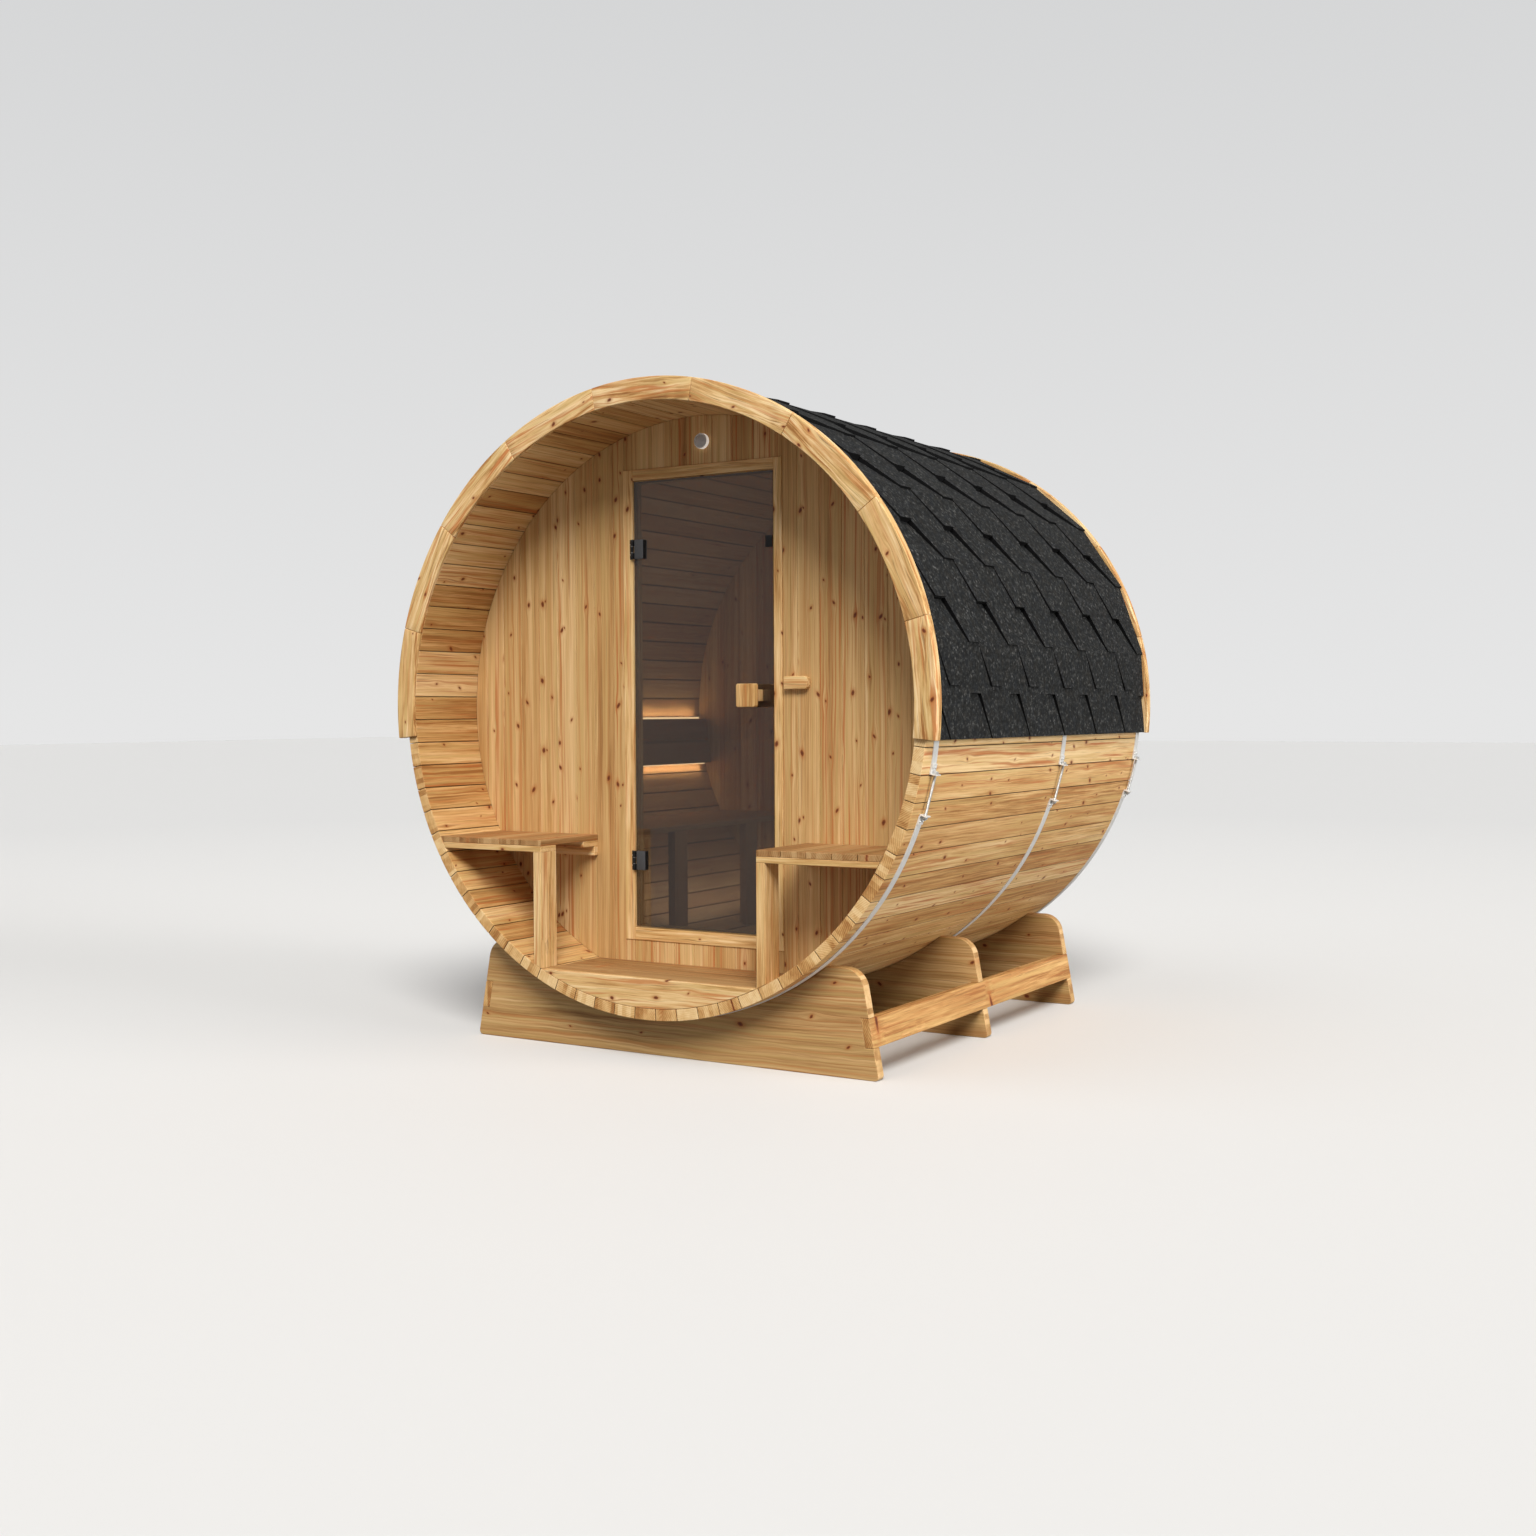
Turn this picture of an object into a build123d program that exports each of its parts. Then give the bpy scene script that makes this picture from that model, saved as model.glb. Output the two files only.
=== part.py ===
from build123d import *
from math import atan2, degrees, cos, sin, radians, sqrt
import os

os.makedirs("parts", exist_ok=True)

# ---------------------------------------------------------------- dimensions
# All in millimetres.  X to the right, Y from the porch to the back wall,
# Z up, ground at Z = 0.  The barrel axis lies along Y.
RO = 1110.0          # outer radius of the staves
T_STAVE = 42.0       # stave thickness
RI = RO - T_STAVE    # inner radius of the staves
ZA = 1259.0          # height of the barrel axis over the ground
L = 2026.0           # stave length
Y0 = -1012.0         # Y of the front stave ends
N_STAVES = 76        # staves round the barrel
GAP = 0.6            # joint between two staves

R_BAND = RO + 3.0    # outer radius of the steel bands
R_ROOF = RO + 27.0   # outer radius of the roof covering
R_TRIM = 1150.0      # outer radius of the arch boards
EAVE = -5.8          # angle of the eaves below the axis, degrees

Y_WALL = 350.0       # porch depth: outer face of the front wall
T_WALL = 42.0        # wall thickness
Y_BACK = 1965.0      # inner face of the back wall

# door opening (outer part of the rebate) and frame
DX0, DX1 = -288.0, 331.0
DZ0, DZ1 = -835.0, 850.0
FX0, FX1 = -332.0, 366.0
FZ0, FZ1 = -882.0, 890.0
STOP = 10.0          # rebate stop behind the glass
CLR = 5.0            # clearance round the glass
T_GLASS = 8.0
HX, HY = -285.0, 338.0   # hinge pin, X and distance from the front
HZ = (592.0, -580.0)     # heights of the two hinges from the axis

Z_FLOOR = -962.0     # top of the porch floor, from the axis
Z_SEAT = -488.0      # top of the benches, from the axis
X_SEAT = 464.5       # inner edge of the benches
T_SLAT = 22.0


def xz(y):
    """Upright plane facing the porch, y mm behind the front stave ends."""
    return Plane(origin=(0, Y0 + y, ZA), x_dir=(1, 0, 0), z_dir=(0, -1, 0))


def polar(r, a):
    return (r * cos(radians(a)), r * sin(radians(a)))


def rim(z, r=RI):
    """Half width of a circle of radius r at height z from the axis."""
    return sqrt(r * r - z * z)


# ---------------------------------------------------------------- staves
PITCH = 360.0 / N_STAVES
half_gap = degrees(GAP / 2 / RI)
# groups of whole staves: start angle and count; one stave is centred on the top
stave_groups = {
    "staves_bottom": (270 - 4.5 * PITCH, 9),
    "staves_lower_right": (270 + 4.5 * PITCH, 10),
    "staves_right": (270 + 14.5 * PITCH, 9),
    "staves_upper_right": (270 + 23.5 * PITCH, 10),
    "staves_top": (90 - 4.5 * PITCH, 9),
    "staves_upper_left": (90 + 4.5 * PITCH, 10),
    "staves_left": (90 + 14.5 * PITCH, 9),
    "staves_lower_left": (90 + 23.5 * PITCH, 10),
}
for name, (start, count) in stave_groups.items():
    with BuildPart() as staves:
        with BuildSketch(xz(0)):
            for k in range(count):
                a0 = start + k * PITCH + half_gap
                a1 = start + (k + 1) * PITCH - half_gap
                am = (a0 + a1) / 2
                with BuildLine():
                    ThreePointArc(polar(RO, a0), polar(RO, am), polar(RO, a1))
                    Line(polar(RO, a1), polar(RI, a1))
                    ThreePointArc(polar(RI, a1), polar(RI, am), polar(RI, a0))
                    Line(polar(RI, a0), polar(RO, a0))
                make_face()
        extrude(amount=-L)
    staves.part.label = name
    export_step(staves.part, f"parts/{name}.step")

# ---------------------------------------------------------------- arch boards
# Nine curved boards cover the stave ends and the roof edge over each end.
# The face part stands in front of the stave ends, the rim part lies round
# the staves.
joints = [EAVE, 14.4, 35.8, 57.2, 78.7, 100.3, 121.7, 143.1, 164.5, 180 - EAVE]
FACE_T = 14.0        # thickness in front of the stave ends
RIM_T = 24.0         # how far the rim reaches back over the roof edge
tg = degrees(0.4 / RO)
for name, yf0, yf1, yr0, yr1 in (
    ("front_arch", -FACE_T, 0.0, 0.0, RIM_T),
    ("back_arch", L, L + 12.0, L - RIM_T, L),
):
    with BuildPart() as arch:
        for ya, yb, rin in ((yf0, yf1, RI), (yr0, yr1, R_BAND)):
            with BuildSketch(xz(ya)):
                for a0, a1 in zip(joints[:-1], joints[1:]):
                    b0, b1 = a0 + tg, a1 - tg
                    bm = (b0 + b1) / 2
                    with BuildLine():
                        ThreePointArc(polar(R_TRIM, b0), polar(R_TRIM, bm), polar(R_TRIM, b1))
                        Line(polar(R_TRIM, b1), polar(rin, b1))
                        ThreePointArc(polar(rin, b1), polar(rin, bm), polar(rin, b0))
                        Line(polar(rin, b0), polar(R_TRIM, b0))
                    make_face()
            extrude(amount=-(yb - ya))
    arch.part.label = name
    export_step(arch.part, f"parts/{name}.step")

# ---------------------------------------------------------------- roof
for name, a0, a1 in (("roof_right", EAVE, 90.0), ("roof_left", 90.0, 180.0 - EAVE)):
    with BuildPart() as roof:
        with BuildSketch(xz(RIM_T)):
            am = (a0 + a1) / 2
            with BuildLine():
                ThreePointArc(polar(R_ROOF, a0), polar(R_ROOF, am), polar(R_ROOF, a1))
                Line(polar(R_ROOF, a1), polar(R_BAND, a1))
                ThreePointArc(polar(R_BAND, a1), polar(R_BAND, am), polar(R_BAND, a0))
                Line(polar(R_BAND, a0), polar(R_ROOF, a0))
            make_face()
        extrude(amount=-(L - 2 * RIM_T))
    roof.part.label = name
    export_step(roof.part, f"parts/{name}.step")

# ---------------------------------------------------------------- steel bands
BAND_W = 36.0
bands_at = (76.0, 1186.0, 2004.0)
LUG_UP, LUG_LO = -11.6, -18.7      # angles of the two lugs of a tensioner
LUG_HALF = degrees(5.0 / RO)       # half a lug's thickness, as an angle
with BuildPart() as bands:
    for yc in bands_at:
        with BuildSketch(xz(yc - BAND_W / 2)):
            b0, b1 = LUG_UP + LUG_HALF, 360 + LUG_LO - LUG_HALF
            bm = (b0 + b1) / 2
            with BuildLine():
                ThreePointArc(polar(R_BAND, b0), polar(R_BAND, bm), polar(R_BAND, b1))
                Line(polar(R_BAND, b1), polar(RO, b1))
                ThreePointArc(polar(RO, b1), polar(RO, bm), polar(RO, b0))
                Line(polar(RO, b0), polar(R_BAND, b0))
            make_face()
        extrude(amount=-BAND_W)
bands.part.label = "steel_bands"
export_step(bands.part, "parts/steel_bands.step")

# each tensioner: two lugs, a threaded rod between them with its nuts
LUG_H, LUG_T, ROD_R = 24.0, 10.0, 5.0
with BuildPart() as tens:
    for yc in bands_at:
        for a in (LUG_UP, LUG_LO):
            ca, sa = cos(radians(a)), sin(radians(a))
            lug_pl = Plane(
                origin=(RO * ca, Y0 + yc, ZA + RO * sa),
                x_dir=(0, 1, 0),
                z_dir=(ca, 0, sa),
            )
            with BuildSketch(lug_pl):
                Rectangle(BAND_W, LUG_T)
            extrude(amount=LUG_H + 3.0)
        # rod on the chord between the lugs
        r_rod = RO + 15.0
        p0, p1 = polar(r_rod, LUG_UP + 0.55), polar(r_rod, LUG_LO - 0.75)
        d = Vector(p1[0] - p0[0], 0, p1[1] - p0[1])
        rod_pl = Plane(origin=(p0[0], Y0 + yc, ZA + p0[1]), x_dir=(0, 1, 0), z_dir=d.normalized())
        with BuildSketch(rod_pl):
            Circle(ROD_R)
        extrude(amount=d.length)
        with BuildSketch(rod_pl.offset(2.0)):
            RegularPolygon(9.0, 6)
        extrude(amount=8.0)
tens.part.label = "tensioners"
export_step(tens.part, "parts/tensioners.step")

# ---------------------------------------------------------------- cradles
CR_T = 42.0
cradles = {"cradle_front": 119.0, "cradle_middle": 1005.0, "cradle_back": 1865.0}
Z_EAR = -885.0
X_EAR, X_FOOT = 802.0, 871.0
SLOPE = (X_FOOT - X_EAR) / (ZA + Z_EAR)


def side_x(z):
    """X of the slanted side of a cradle at height z from the axis."""
    return X_EAR + (Z_EAR - z) * SLOPE


RZ0, RZ1, RAIL_T = -1150.0, -1050.0, 32.0   # rail: lower edge, upper edge, thickness
for name, yc in cradles.items():
    with BuildPart() as cradle:
        with BuildSketch(xz(yc)) as prof:
            Polygon(
                (-X_FOOT, -ZA), (X_FOOT, -ZA), (X_EAR, Z_EAR), (-X_EAR, Z_EAR),
                align=None,
            )
            tops = prof.vertices().sort_by(Axis.Y)[-2:]
            fillet(tops, radius=78.0)
            feet = prof.vertices().sort_by(Axis.Y)[:2]
            fillet(feet, radius=16.0)
            Circle(RO, mode=Mode.SUBTRACT)
            for s in (-1, 1):
                Polygon(
                    (s * (side_x(RZ1) + 30), RZ1), (s * (side_x(RZ0) + 30), RZ0),
                    (s * (side_x(RZ0) - RAIL_T), RZ0), (s * (side_x(RZ1) - RAIL_T), RZ1),
                    align=None, mode=Mode.SUBTRACT,
                )
        extrude(amount=-CR_T)
    cradle.part.label = name
    export_step(cradle.part, f"parts/{name}.step")

with BuildPart() as rails:
    with BuildSketch(xz(cradles["cradle_front"])):
        for s in (-1, 1):
            Polygon(
                (s * side_x(RZ1), RZ1), (s * side_x(RZ0), RZ0),
                (s * (side_x(RZ0) - RAIL_T), RZ0), (s * (side_x(RZ1) - RAIL_T), RZ1),
                align=None,
            )
    extrude(amount=-(cradles["cradle_back"] + CR_T - cradles["cradle_front"]))
rails.part.label = "base_rails"
export_step(rails.part, "parts/base_rails.step")

# ---------------------------------------------------------------- end walls
BIG = 2600.0
wall_parts = {
    "wall_left": (-BIG / 2, FX0, -BIG / 2, BIG / 2),
    "wall_right": (FX1, BIG / 2, -BIG / 2, BIG / 2),
    "wall_over_door": (FX0, FX1, FZ1, BIG / 2),
    "wall_under_door": (FX0, FX1, -BIG / 2, FZ0),
}
for name, (x0, x1, z0, z1) in wall_parts.items():
    with BuildPart() as wall:
        with BuildSketch(xz(Y_WALL)):
            Circle(RI)
            with Locations(((x0 + x1) / 2, (z0 + z1) / 2)):
                Rectangle(x1 - x0, z1 - z0, mode=Mode.INTERSECT)
        extrude(amount=-T_WALL)
    wall.part.label = name
    export_step(wall.part, f"parts/{name}.step")

with BuildPart() as back:
    with BuildSketch(xz(Y_BACK)):
        Circle(RI)
    extrude(amount=-T_WALL)
back.part.label = "back_wall"
export_step(back.part, "parts/back_wall.step")

# ---------------------------------------------------------------- door frame
F_PROUD = 4.0                       # the frame stands 4 mm proud of the wall
YF = Y_WALL - F_PROUD
Y_STOP = Y_WALL + T_GLASS + CLR     # front of the rebate stop
for name, xo, xi, xs in (
    ("jamb_left", FX0, DX0, DX0 + STOP),
    ("jamb_right", FX1, DX1, DX1 - STOP),
):
    with BuildPart() as jamb:
        with BuildSketch(Plane.XY.offset(ZA + FZ0)):
            Polygon(
                (xo, Y0 + YF), (xi, Y0 + YF), (xi, Y0 + Y_STOP), (xs, Y0 + Y_STOP),
                (xs, Y0 + Y_WALL + T_WALL), (xo, Y0 + Y_WALL + T_WALL),
                align=None,
            )
        extrude(amount=FZ1 - FZ0)
    jamb.part.label = name
    export_step(jamb.part, f"parts/{name}.step")

for name, zo, zi, zs in (
    ("door_head", FZ1, DZ1, DZ1 - STOP),
    ("door_sill", FZ0, DZ0, DZ0 + STOP),
):
    with BuildPart() as bar:
        with BuildSketch(xz(YF)):
            with Locations(((DX0 + DX1) / 2, (zo + zi) / 2)):
                Rectangle(DX1 - DX0, abs(zo - zi))
        extrude(amount=-(Y_STOP - YF))
        with BuildSketch(xz(Y_STOP)):
            with Locations(((DX0 + DX1) / 2, (zo + zs) / 2)):
                Rectangle(DX1 - DX0 - 2 * STOP, abs(zo - zs))
        extrude(amount=-(Y_WALL + T_WALL - Y_STOP))
    bar.part.label = name
    export_step(bar.part, f"parts/{name}.step")

# ---------------------------------------------------------------- porch floor
FASCIA_T = 28.0
with BuildPart() as fascia:
    with BuildSketch(xz(0)):
        Circle(RI)
        with Locations((0, (Z_FLOOR - BIG / 2) / 2)):
            Rectangle(BIG, BIG / 2 + Z_FLOOR, mode=Mode.INTERSECT)
    extrude(amount=-FASCIA_T)
fascia.part.label = "porch_fascia"
export_step(fascia.part, "parts/porch_fascia.step")

with BuildPart() as floor:
    board = (Y_WALL - FASCIA_T - 2 * 2.0) / 3
    for k in range(3):
        with BuildSketch(xz(FASCIA_T + k * (board + 2.0))):
            Circle(RI)
            with Locations((0, Z_FLOOR - 14.0)):
                Rectangle(BIG, 28.0, mode=Mode.INTERSECT)
        extrude(amount=-board)
floor.part.label = "porch_floor"
export_step(floor.part, "parts/porch_floor.step")

# ---------------------------------------------------------------- benches
# Slats run from front to back; the outermost slat is cut to the stave.
SLAT_GAP = 3.0
N_SLATS = 5


def slat_edges(k):
    w = (rim(Z_SEAT - T_SLAT) + 12.0 - X_SEAT - (N_SLATS - 1) * SLAT_GAP) / N_SLATS
    x0 = X_SEAT + k * (w + SLAT_GAP)
    return x0, (x0 + w if k < N_SLATS - 1 else X_SEAT + 560.0)


for name, s, ya, yb in (
    ("porch_seat_left", -1, 0.0, Y_WALL),
    ("porch_seat_right", 1, 0.0, Y_WALL),
    ("cabin_seat", -1, Y_WALL + T_WALL, Y_BACK),
):
    with BuildPart() as seat:
        for k in range(N_SLATS):
            x0, x1 = slat_edges(k)
            with BuildSketch(xz(ya)):
                Circle(RI)
                with Locations((s * (x0 + x1) / 2, Z_SEAT - T_SLAT / 2)):
                    Rectangle(x1 - x0, T_SLAT, mode=Mode.INTERSECT)
            extrude(amount=-(yb - ya))
    seat.part.label = name
    export_step(seat.part, f"parts/{name}.step")

RAIL_D = 92.0        # flat cross rails under the porch seats, along Y
Z_RAIL = Z_SEAT - 2 * T_SLAT
with BuildPart() as cross:
    for s in (-1, 1):
        for ya in (0.0, Y_WALL - RAIL_D):
            with BuildSketch(xz(ya)):
                Circle(RI)
                with Locations((s * (X_SEAT + 300.0), Z_RAIL + T_SLAT / 2)):
                    Rectangle(600.0, T_SLAT, mode=Mode.INTERSECT)
            extrude(amount=-RAIL_D)
cross.part.label = "porch_seat_rails"
export_step(cross.part, "parts/porch_seat_rails.step")

with BuildPart() as ledgers:
    for s in (-1, 1):
        with BuildSketch(xz(Y_WALL - 24.0)):
            Circle(RI)
            with Locations((s * (X_SEAT + 300.0), Z_RAIL - 18.0)):
                Rectangle(600.0, 36.0, mode=Mode.INTERSECT)
        extrude(amount=-24.0)
ledgers.part.label = "porch_ledgers"
export_step(ledgers.part, "parts/porch_ledgers.step")

POST_X, POST_Y = 35.0, 92.0
with BuildPart() as posts:
    for s in (-1, 1):
        with BuildSketch(xz(0)):
            Circle(RI)
            with Locations((s * (X_SEAT + POST_X / 2), (Z_RAIL - BIG / 2) / 2)):
                Rectangle(POST_X, BIG / 2 + Z_RAIL, mode=Mode.INTERSECT)
        extrude(amount=-POST_Y)
posts.part.label = "porch_posts"
export_step(posts.part, "parts/porch_posts.step")

with BuildPart() as legs:
    for ya in (873.0, 1425.0):
        with BuildSketch(xz(ya)):
            Circle(RI)
            with Locations((-(X_SEAT + POST_X / 2), (Z_SEAT - T_SLAT - BIG / 2) / 2)):
                Rectangle(POST_X, BIG / 2 + Z_SEAT - T_SLAT, mode=Mode.INTERSECT)
        extrude(amount=-POST_Y)
legs.part.label = "cabin_seat_legs"
export_step(legs.part, "parts/cabin_seat_legs.step")

# backrest: two boards on three battens, all leaning with the wall, and a
# backing strip behind the gap between the boards
BR_Y0, BR_Y1 = 400.0, 1957.0
with BuildPart() as backrest:
    with BuildSketch(xz(BR_Y0)):
        Polygon((-1020, -52), (-1008, -152), (-1026, -152), (-1038, -52), align=None)
        Polygon((-1007, -162), (-995, -262), (-1013, -262), (-1025, -162), align=None)
        Polygon((-1027, -140), (-1022, -180), (-1032, -180), (-1037, -140), align=None)
    extrude(amount=-(BR_Y1 - BR_Y0))
    for ya in (480.0, 1160.0, 1840.0):
        with BuildSketch(xz(ya)):
            Polygon((-1034.5, -70), (-1014, -245), (-1200, -245), (-1200, -70), align=None)
            Circle(RI, mode=Mode.INTERSECT)
        extrude(amount=-40.0)
backrest.part.label = "cabin_backrest"
export_step(backrest.part, "parts/cabin_backrest.step")

# warm light strips: one over and one under the backrest, held on the staves
with BuildPart() as strips:
    for z0, z1, x1 in ((-60.0, -44.0, -1050.0), (-268.0, -254.0, -1020.0)):
        with BuildSketch(xz(BR_Y0 + 20)):
            Circle(RI)
            with Locations(((x1 - 1200) / 2, (z0 + z1) / 2)):
                Rectangle(1200 + x1, z1 - z0, mode=Mode.INTERSECT)
        extrude(amount=-(BR_Y1 - BR_Y0 - 40))
strips.part.label = "light_strips"
export_step(strips.part, "parts/light_strips.step")

# ---------------------------------------------------------------- small fittings
with BuildPart() as lamp:
    with BuildSketch(xz(Y_WALL - 20.0)):
        with Locations((28.0, 972.0)):
            Circle(28.0)
    extrude(amount=-20.0)
    fillet(lamp.faces().sort_by(Axis.Y)[0].edges(), radius=4.0)
lamp.part.label = "porch_light"
export_step(lamp.part, "parts/porch_light.step")

with BuildPart() as block:
    with BuildSketch(xz(Y_WALL - 22.0)):
        with Locations((430.0, 82.5)):
            RectangleRounded(100.0, 47.0, 12.0)
    extrude(amount=-22.0)
block.part.label = "latch_block"
export_step(block.part, "parts/latch_block.step")

# hinge plates on the left jamb with the middle knuckle of each hinge
KR = 6.0
with BuildPart() as plates:
    for hz in HZ:
        with BuildSketch(Plane.XY.offset(ZA + hz - 37.0)):
            with Locations((-294.0, Y0 + YF - 0.9)):
                Rectangle(12.0, 1.8)
        extrude(amount=74.0)
        with BuildSketch(Plane.XY.offset(ZA + hz - 11.0)):
            with Locations((HX, Y0 + HY)):
                Circle(KR)
            with Locations((HX - 6.0, Y0 + HY + 4.5)):
                Rectangle(8.0, 7.0)
        extrude(amount=22.0)
plates.part.label = "hinge_plates"
export_step(plates.part, "parts/hinge_plates.step")

# ---------------------------------------------------------------- door leaf
GX0, GX1 = DX0 + CLR, DX1 - CLR
GZ0, GZ1 = DZ0 + CLR, DZ1 - CLR
with BuildPart() as glass:
    with BuildSketch(xz(Y_WALL)):
        with Locations(((GX0 + GX1) / 2, (GZ0 + GZ1) / 2)):
            Rectangle(GX1 - GX0, GZ1 - GZ0)
    extrude(amount=-T_GLASS)
glass.part.label = "door_glass"
export_step(glass.part, "parts/door_glass.step")

# clamp of each hinge: a front plate with two knuckles and a back plate
with BuildPart() as clamps:
    for hz in HZ:
        with BuildSketch(Plane.XY.offset(ZA + hz - 36.0)):
            with Locations((-256.5, Y0 + Y_WALL - 5.0)):
                Rectangle(41.0, 10.0)
        extrude(amount=72.0)
        for z0 in (-36.0, 12.5):
            with BuildSketch(Plane.XY.offset(ZA + hz + z0)):
                with Locations((HX, Y0 + HY)):
                    Circle(KR)
                with Locations((HX + 5.0, Y0 + HY + 4.0)):
                    Rectangle(10.0, 4.0)
            extrude(amount=23.5)
        with BuildSketch(Plane.XY.offset(ZA + hz - 36.0)):
            with Locations((-252.0, Y0 + Y_WALL + T_GLASS + 4.0)):
                Rectangle(32.0, 8.0)
        extrude(amount=72.0)
clamps.part.label = "door_hinges"
export_step(clamps.part, "parts/door_hinges.step")

# square wooden pulls: a rounded plate on a small neck, one on each face
HCX, HCZ = 253.0, 39.0
PW, PH, PT = 80.0, 84.0, 25.0
for name, y_glass, out in (
    ("door_handle_outside", Y_WALL, -1),
    ("door_handle_inside", Y_WALL + T_GLASS, 1),
):
    with BuildPart() as pull:
        y_neck = y_glass if out > 0 else y_glass - 50.0
        with BuildSketch(xz(y_neck)):
            with Locations((HCX, HCZ)):
                Rectangle(58.0, 42.0)
        extrude(amount=-50.0)
        y_plate = y_glass + 50.0 if out > 0 else y_glass - 50.0 - PT
        with BuildSketch(xz(y_plate)):
            with Locations((HCX, HCZ)):
                RectangleRounded(PW, PH, 9.0)
        extrude(amount=-PT)
    pull.part.label = name
    export_step(pull.part, f"parts/{name}.step")

# catch plates at the free edge of the glass
with BuildPart() as catches:
    for hz in HZ:
        with BuildSketch(xz(Y_WALL - 4.0)):
            with Locations((311.0, hz)):
                Rectangle(28.0, 42.0)
        extrude(amount=-4.0)
catches.part.label = "door_catches"
export_step(catches.part, "parts/door_catches.step")
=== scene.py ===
import math
import random

import bmesh
import bpy
import numpy as np
from mathutils import Matrix, Vector


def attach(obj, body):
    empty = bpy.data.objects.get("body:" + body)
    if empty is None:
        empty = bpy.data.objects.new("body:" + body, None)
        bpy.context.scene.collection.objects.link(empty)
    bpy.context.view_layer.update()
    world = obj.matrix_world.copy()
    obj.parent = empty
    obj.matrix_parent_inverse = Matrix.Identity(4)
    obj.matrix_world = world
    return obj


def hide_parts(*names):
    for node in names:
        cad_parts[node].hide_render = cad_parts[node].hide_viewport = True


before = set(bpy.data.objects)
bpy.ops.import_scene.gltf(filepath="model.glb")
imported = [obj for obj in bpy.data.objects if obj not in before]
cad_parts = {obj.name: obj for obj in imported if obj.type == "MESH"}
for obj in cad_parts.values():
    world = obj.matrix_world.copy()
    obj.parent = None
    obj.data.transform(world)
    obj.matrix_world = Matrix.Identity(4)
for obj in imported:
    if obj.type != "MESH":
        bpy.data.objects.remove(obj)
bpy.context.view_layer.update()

# ------------------------------------------------------------------ frame
# Lengths below are millimetres: x to the right, y from the front stave ends
# towards the back, z from the barrel axis.  W() turns them into the model's
# metres.
MM = 0.001
Y0, ZA = -1012.0, 1259.0
RO, RI = 1110.0, 1068.0
L = 2026.0
N_STAVES = 76
R_BAND, R_TRIM = 1113.0, 1149.6
EAVE = -5.8
Y_WALL, T_WALL, Y_BACK = 350.0, 42.0, 1965.0
DX0, DX1, DZ0, DZ1 = -288.0, 331.0, -835.0, 850.0
FX0, FX1, FZ0, FZ1 = -332.0, 366.0, -882.0, 890.0
STOP, CLR, T_GLASS = 10.0, 5.0, 8.0
HX, HY, HZ = -285.0, 338.0, (592.0, -580.0)
Z_FLOOR, Z_SEAT, X_SEAT, T_SLAT = -962.0, -488.0, 464.5, 22.0
Z_RAIL = Z_SEAT - 2 * T_SLAT

rng = random.Random(4127)
BODY, DOOR = "barrel_body", "door"


def rad(a):
    return math.radians(a)


def W(p):
    return (p[0] * MM, (p[1] + Y0) * MM, (p[2] + ZA) * MM)


def polar(r, a):
    return (r * math.cos(rad(a)), r * math.sin(rad(a)))


def rim(z, r=RI):
    return math.sqrt(max(r * r - z * z, 0.0))


# ------------------------------------------------------------------ meshes
class Piece:
    """One visible piece, put together from boards or fittings.  Each of them
    carries its own grain coordinates and its own random numbers."""

    def __init__(self, name):
        self.name = name
        self.co, self.fa, self.g, self.b, self.e, self.mi = [], [], [], [], [], []

    def add(self, bm, bevel=1.5, grain=None, gdir=None, seg=2, ang=25.0, rnd=None, slot=0):
        bmesh.ops.recalc_face_normals(bm, faces=bm.faces[:])
        if bevel > 0:
            ed = [e for e in bm.edges if len(e.link_faces) == 2 and e.calc_face_angle(0.0) > rad(ang)]
            bmesh.ops.bevel(bm, geom=ed, offset=bevel, offset_type="OFFSET", segments=seg,
                            profile=0.5, affect="EDGES", clamp_overlap=True)
        bm.normal_update()
        base = len(self.co)
        off = (rng.uniform(-3, 3), rng.uniform(-3, 3), rng.uniform(-3, 3))
        r = rnd or (rng.random(), rng.random(), rng.random())
        bm.verts.index_update()
        for v in bm.verts:
            self.co.append(W(v.co))
            u = grain(v.co) if grain else tuple(v.co)
            self.g.append((u[0] * MM + off[0], u[1] * MM + off[1], u[2] * MM + off[2]))
            self.b.append(r)
        for f in bm.faces:
            self.fa.append([base + v.index for v in f.verts])
            if gdir is None:
                self.e.append(0.0)
            else:
                self.e.append(1.0 if abs(f.normal.dot(Vector(gdir))) > 0.75 else 0.0)
            self.mi.append(slot + f.material_index)
        bm.free()

    def make(self, mats, body=BODY, replaces=(), sharp=15.0):
        me = bpy.data.meshes.new(self.name)
        me.from_pydata(self.co, [], self.fa)
        a = me.attributes.new("gco", "FLOAT_VECTOR", "POINT")
        a.data.foreach_set("vector", np.array(self.g, np.float32).ravel())
        a = me.attributes.new("brd", "FLOAT_VECTOR", "POINT")
        a.data.foreach_set("vector", np.array(self.b, np.float32).ravel())
        a = me.attributes.new("endg", "FLOAT", "FACE")
        a.data.foreach_set("value", np.array(self.e, np.float32))
        mats = mats if isinstance(mats, (list, tuple)) else [mats]
        for m in mats:
            me.materials.append(m)
        me.polygons.foreach_set("material_index", np.array(self.mi, np.int32))
        me.polygons.foreach_set("use_smooth", np.ones(len(me.polygons), bool))
        me.set_sharp_from_angle(angle=rad(sharp))
        me.update()
        ob = bpy.data.objects.new(self.name, me)
        bpy.context.scene.collection.objects.link(ob)
        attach(ob, body)
        if replaces:
            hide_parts(*([replaces] if isinstance(replaces, str) else replaces))
        return ob


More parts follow.
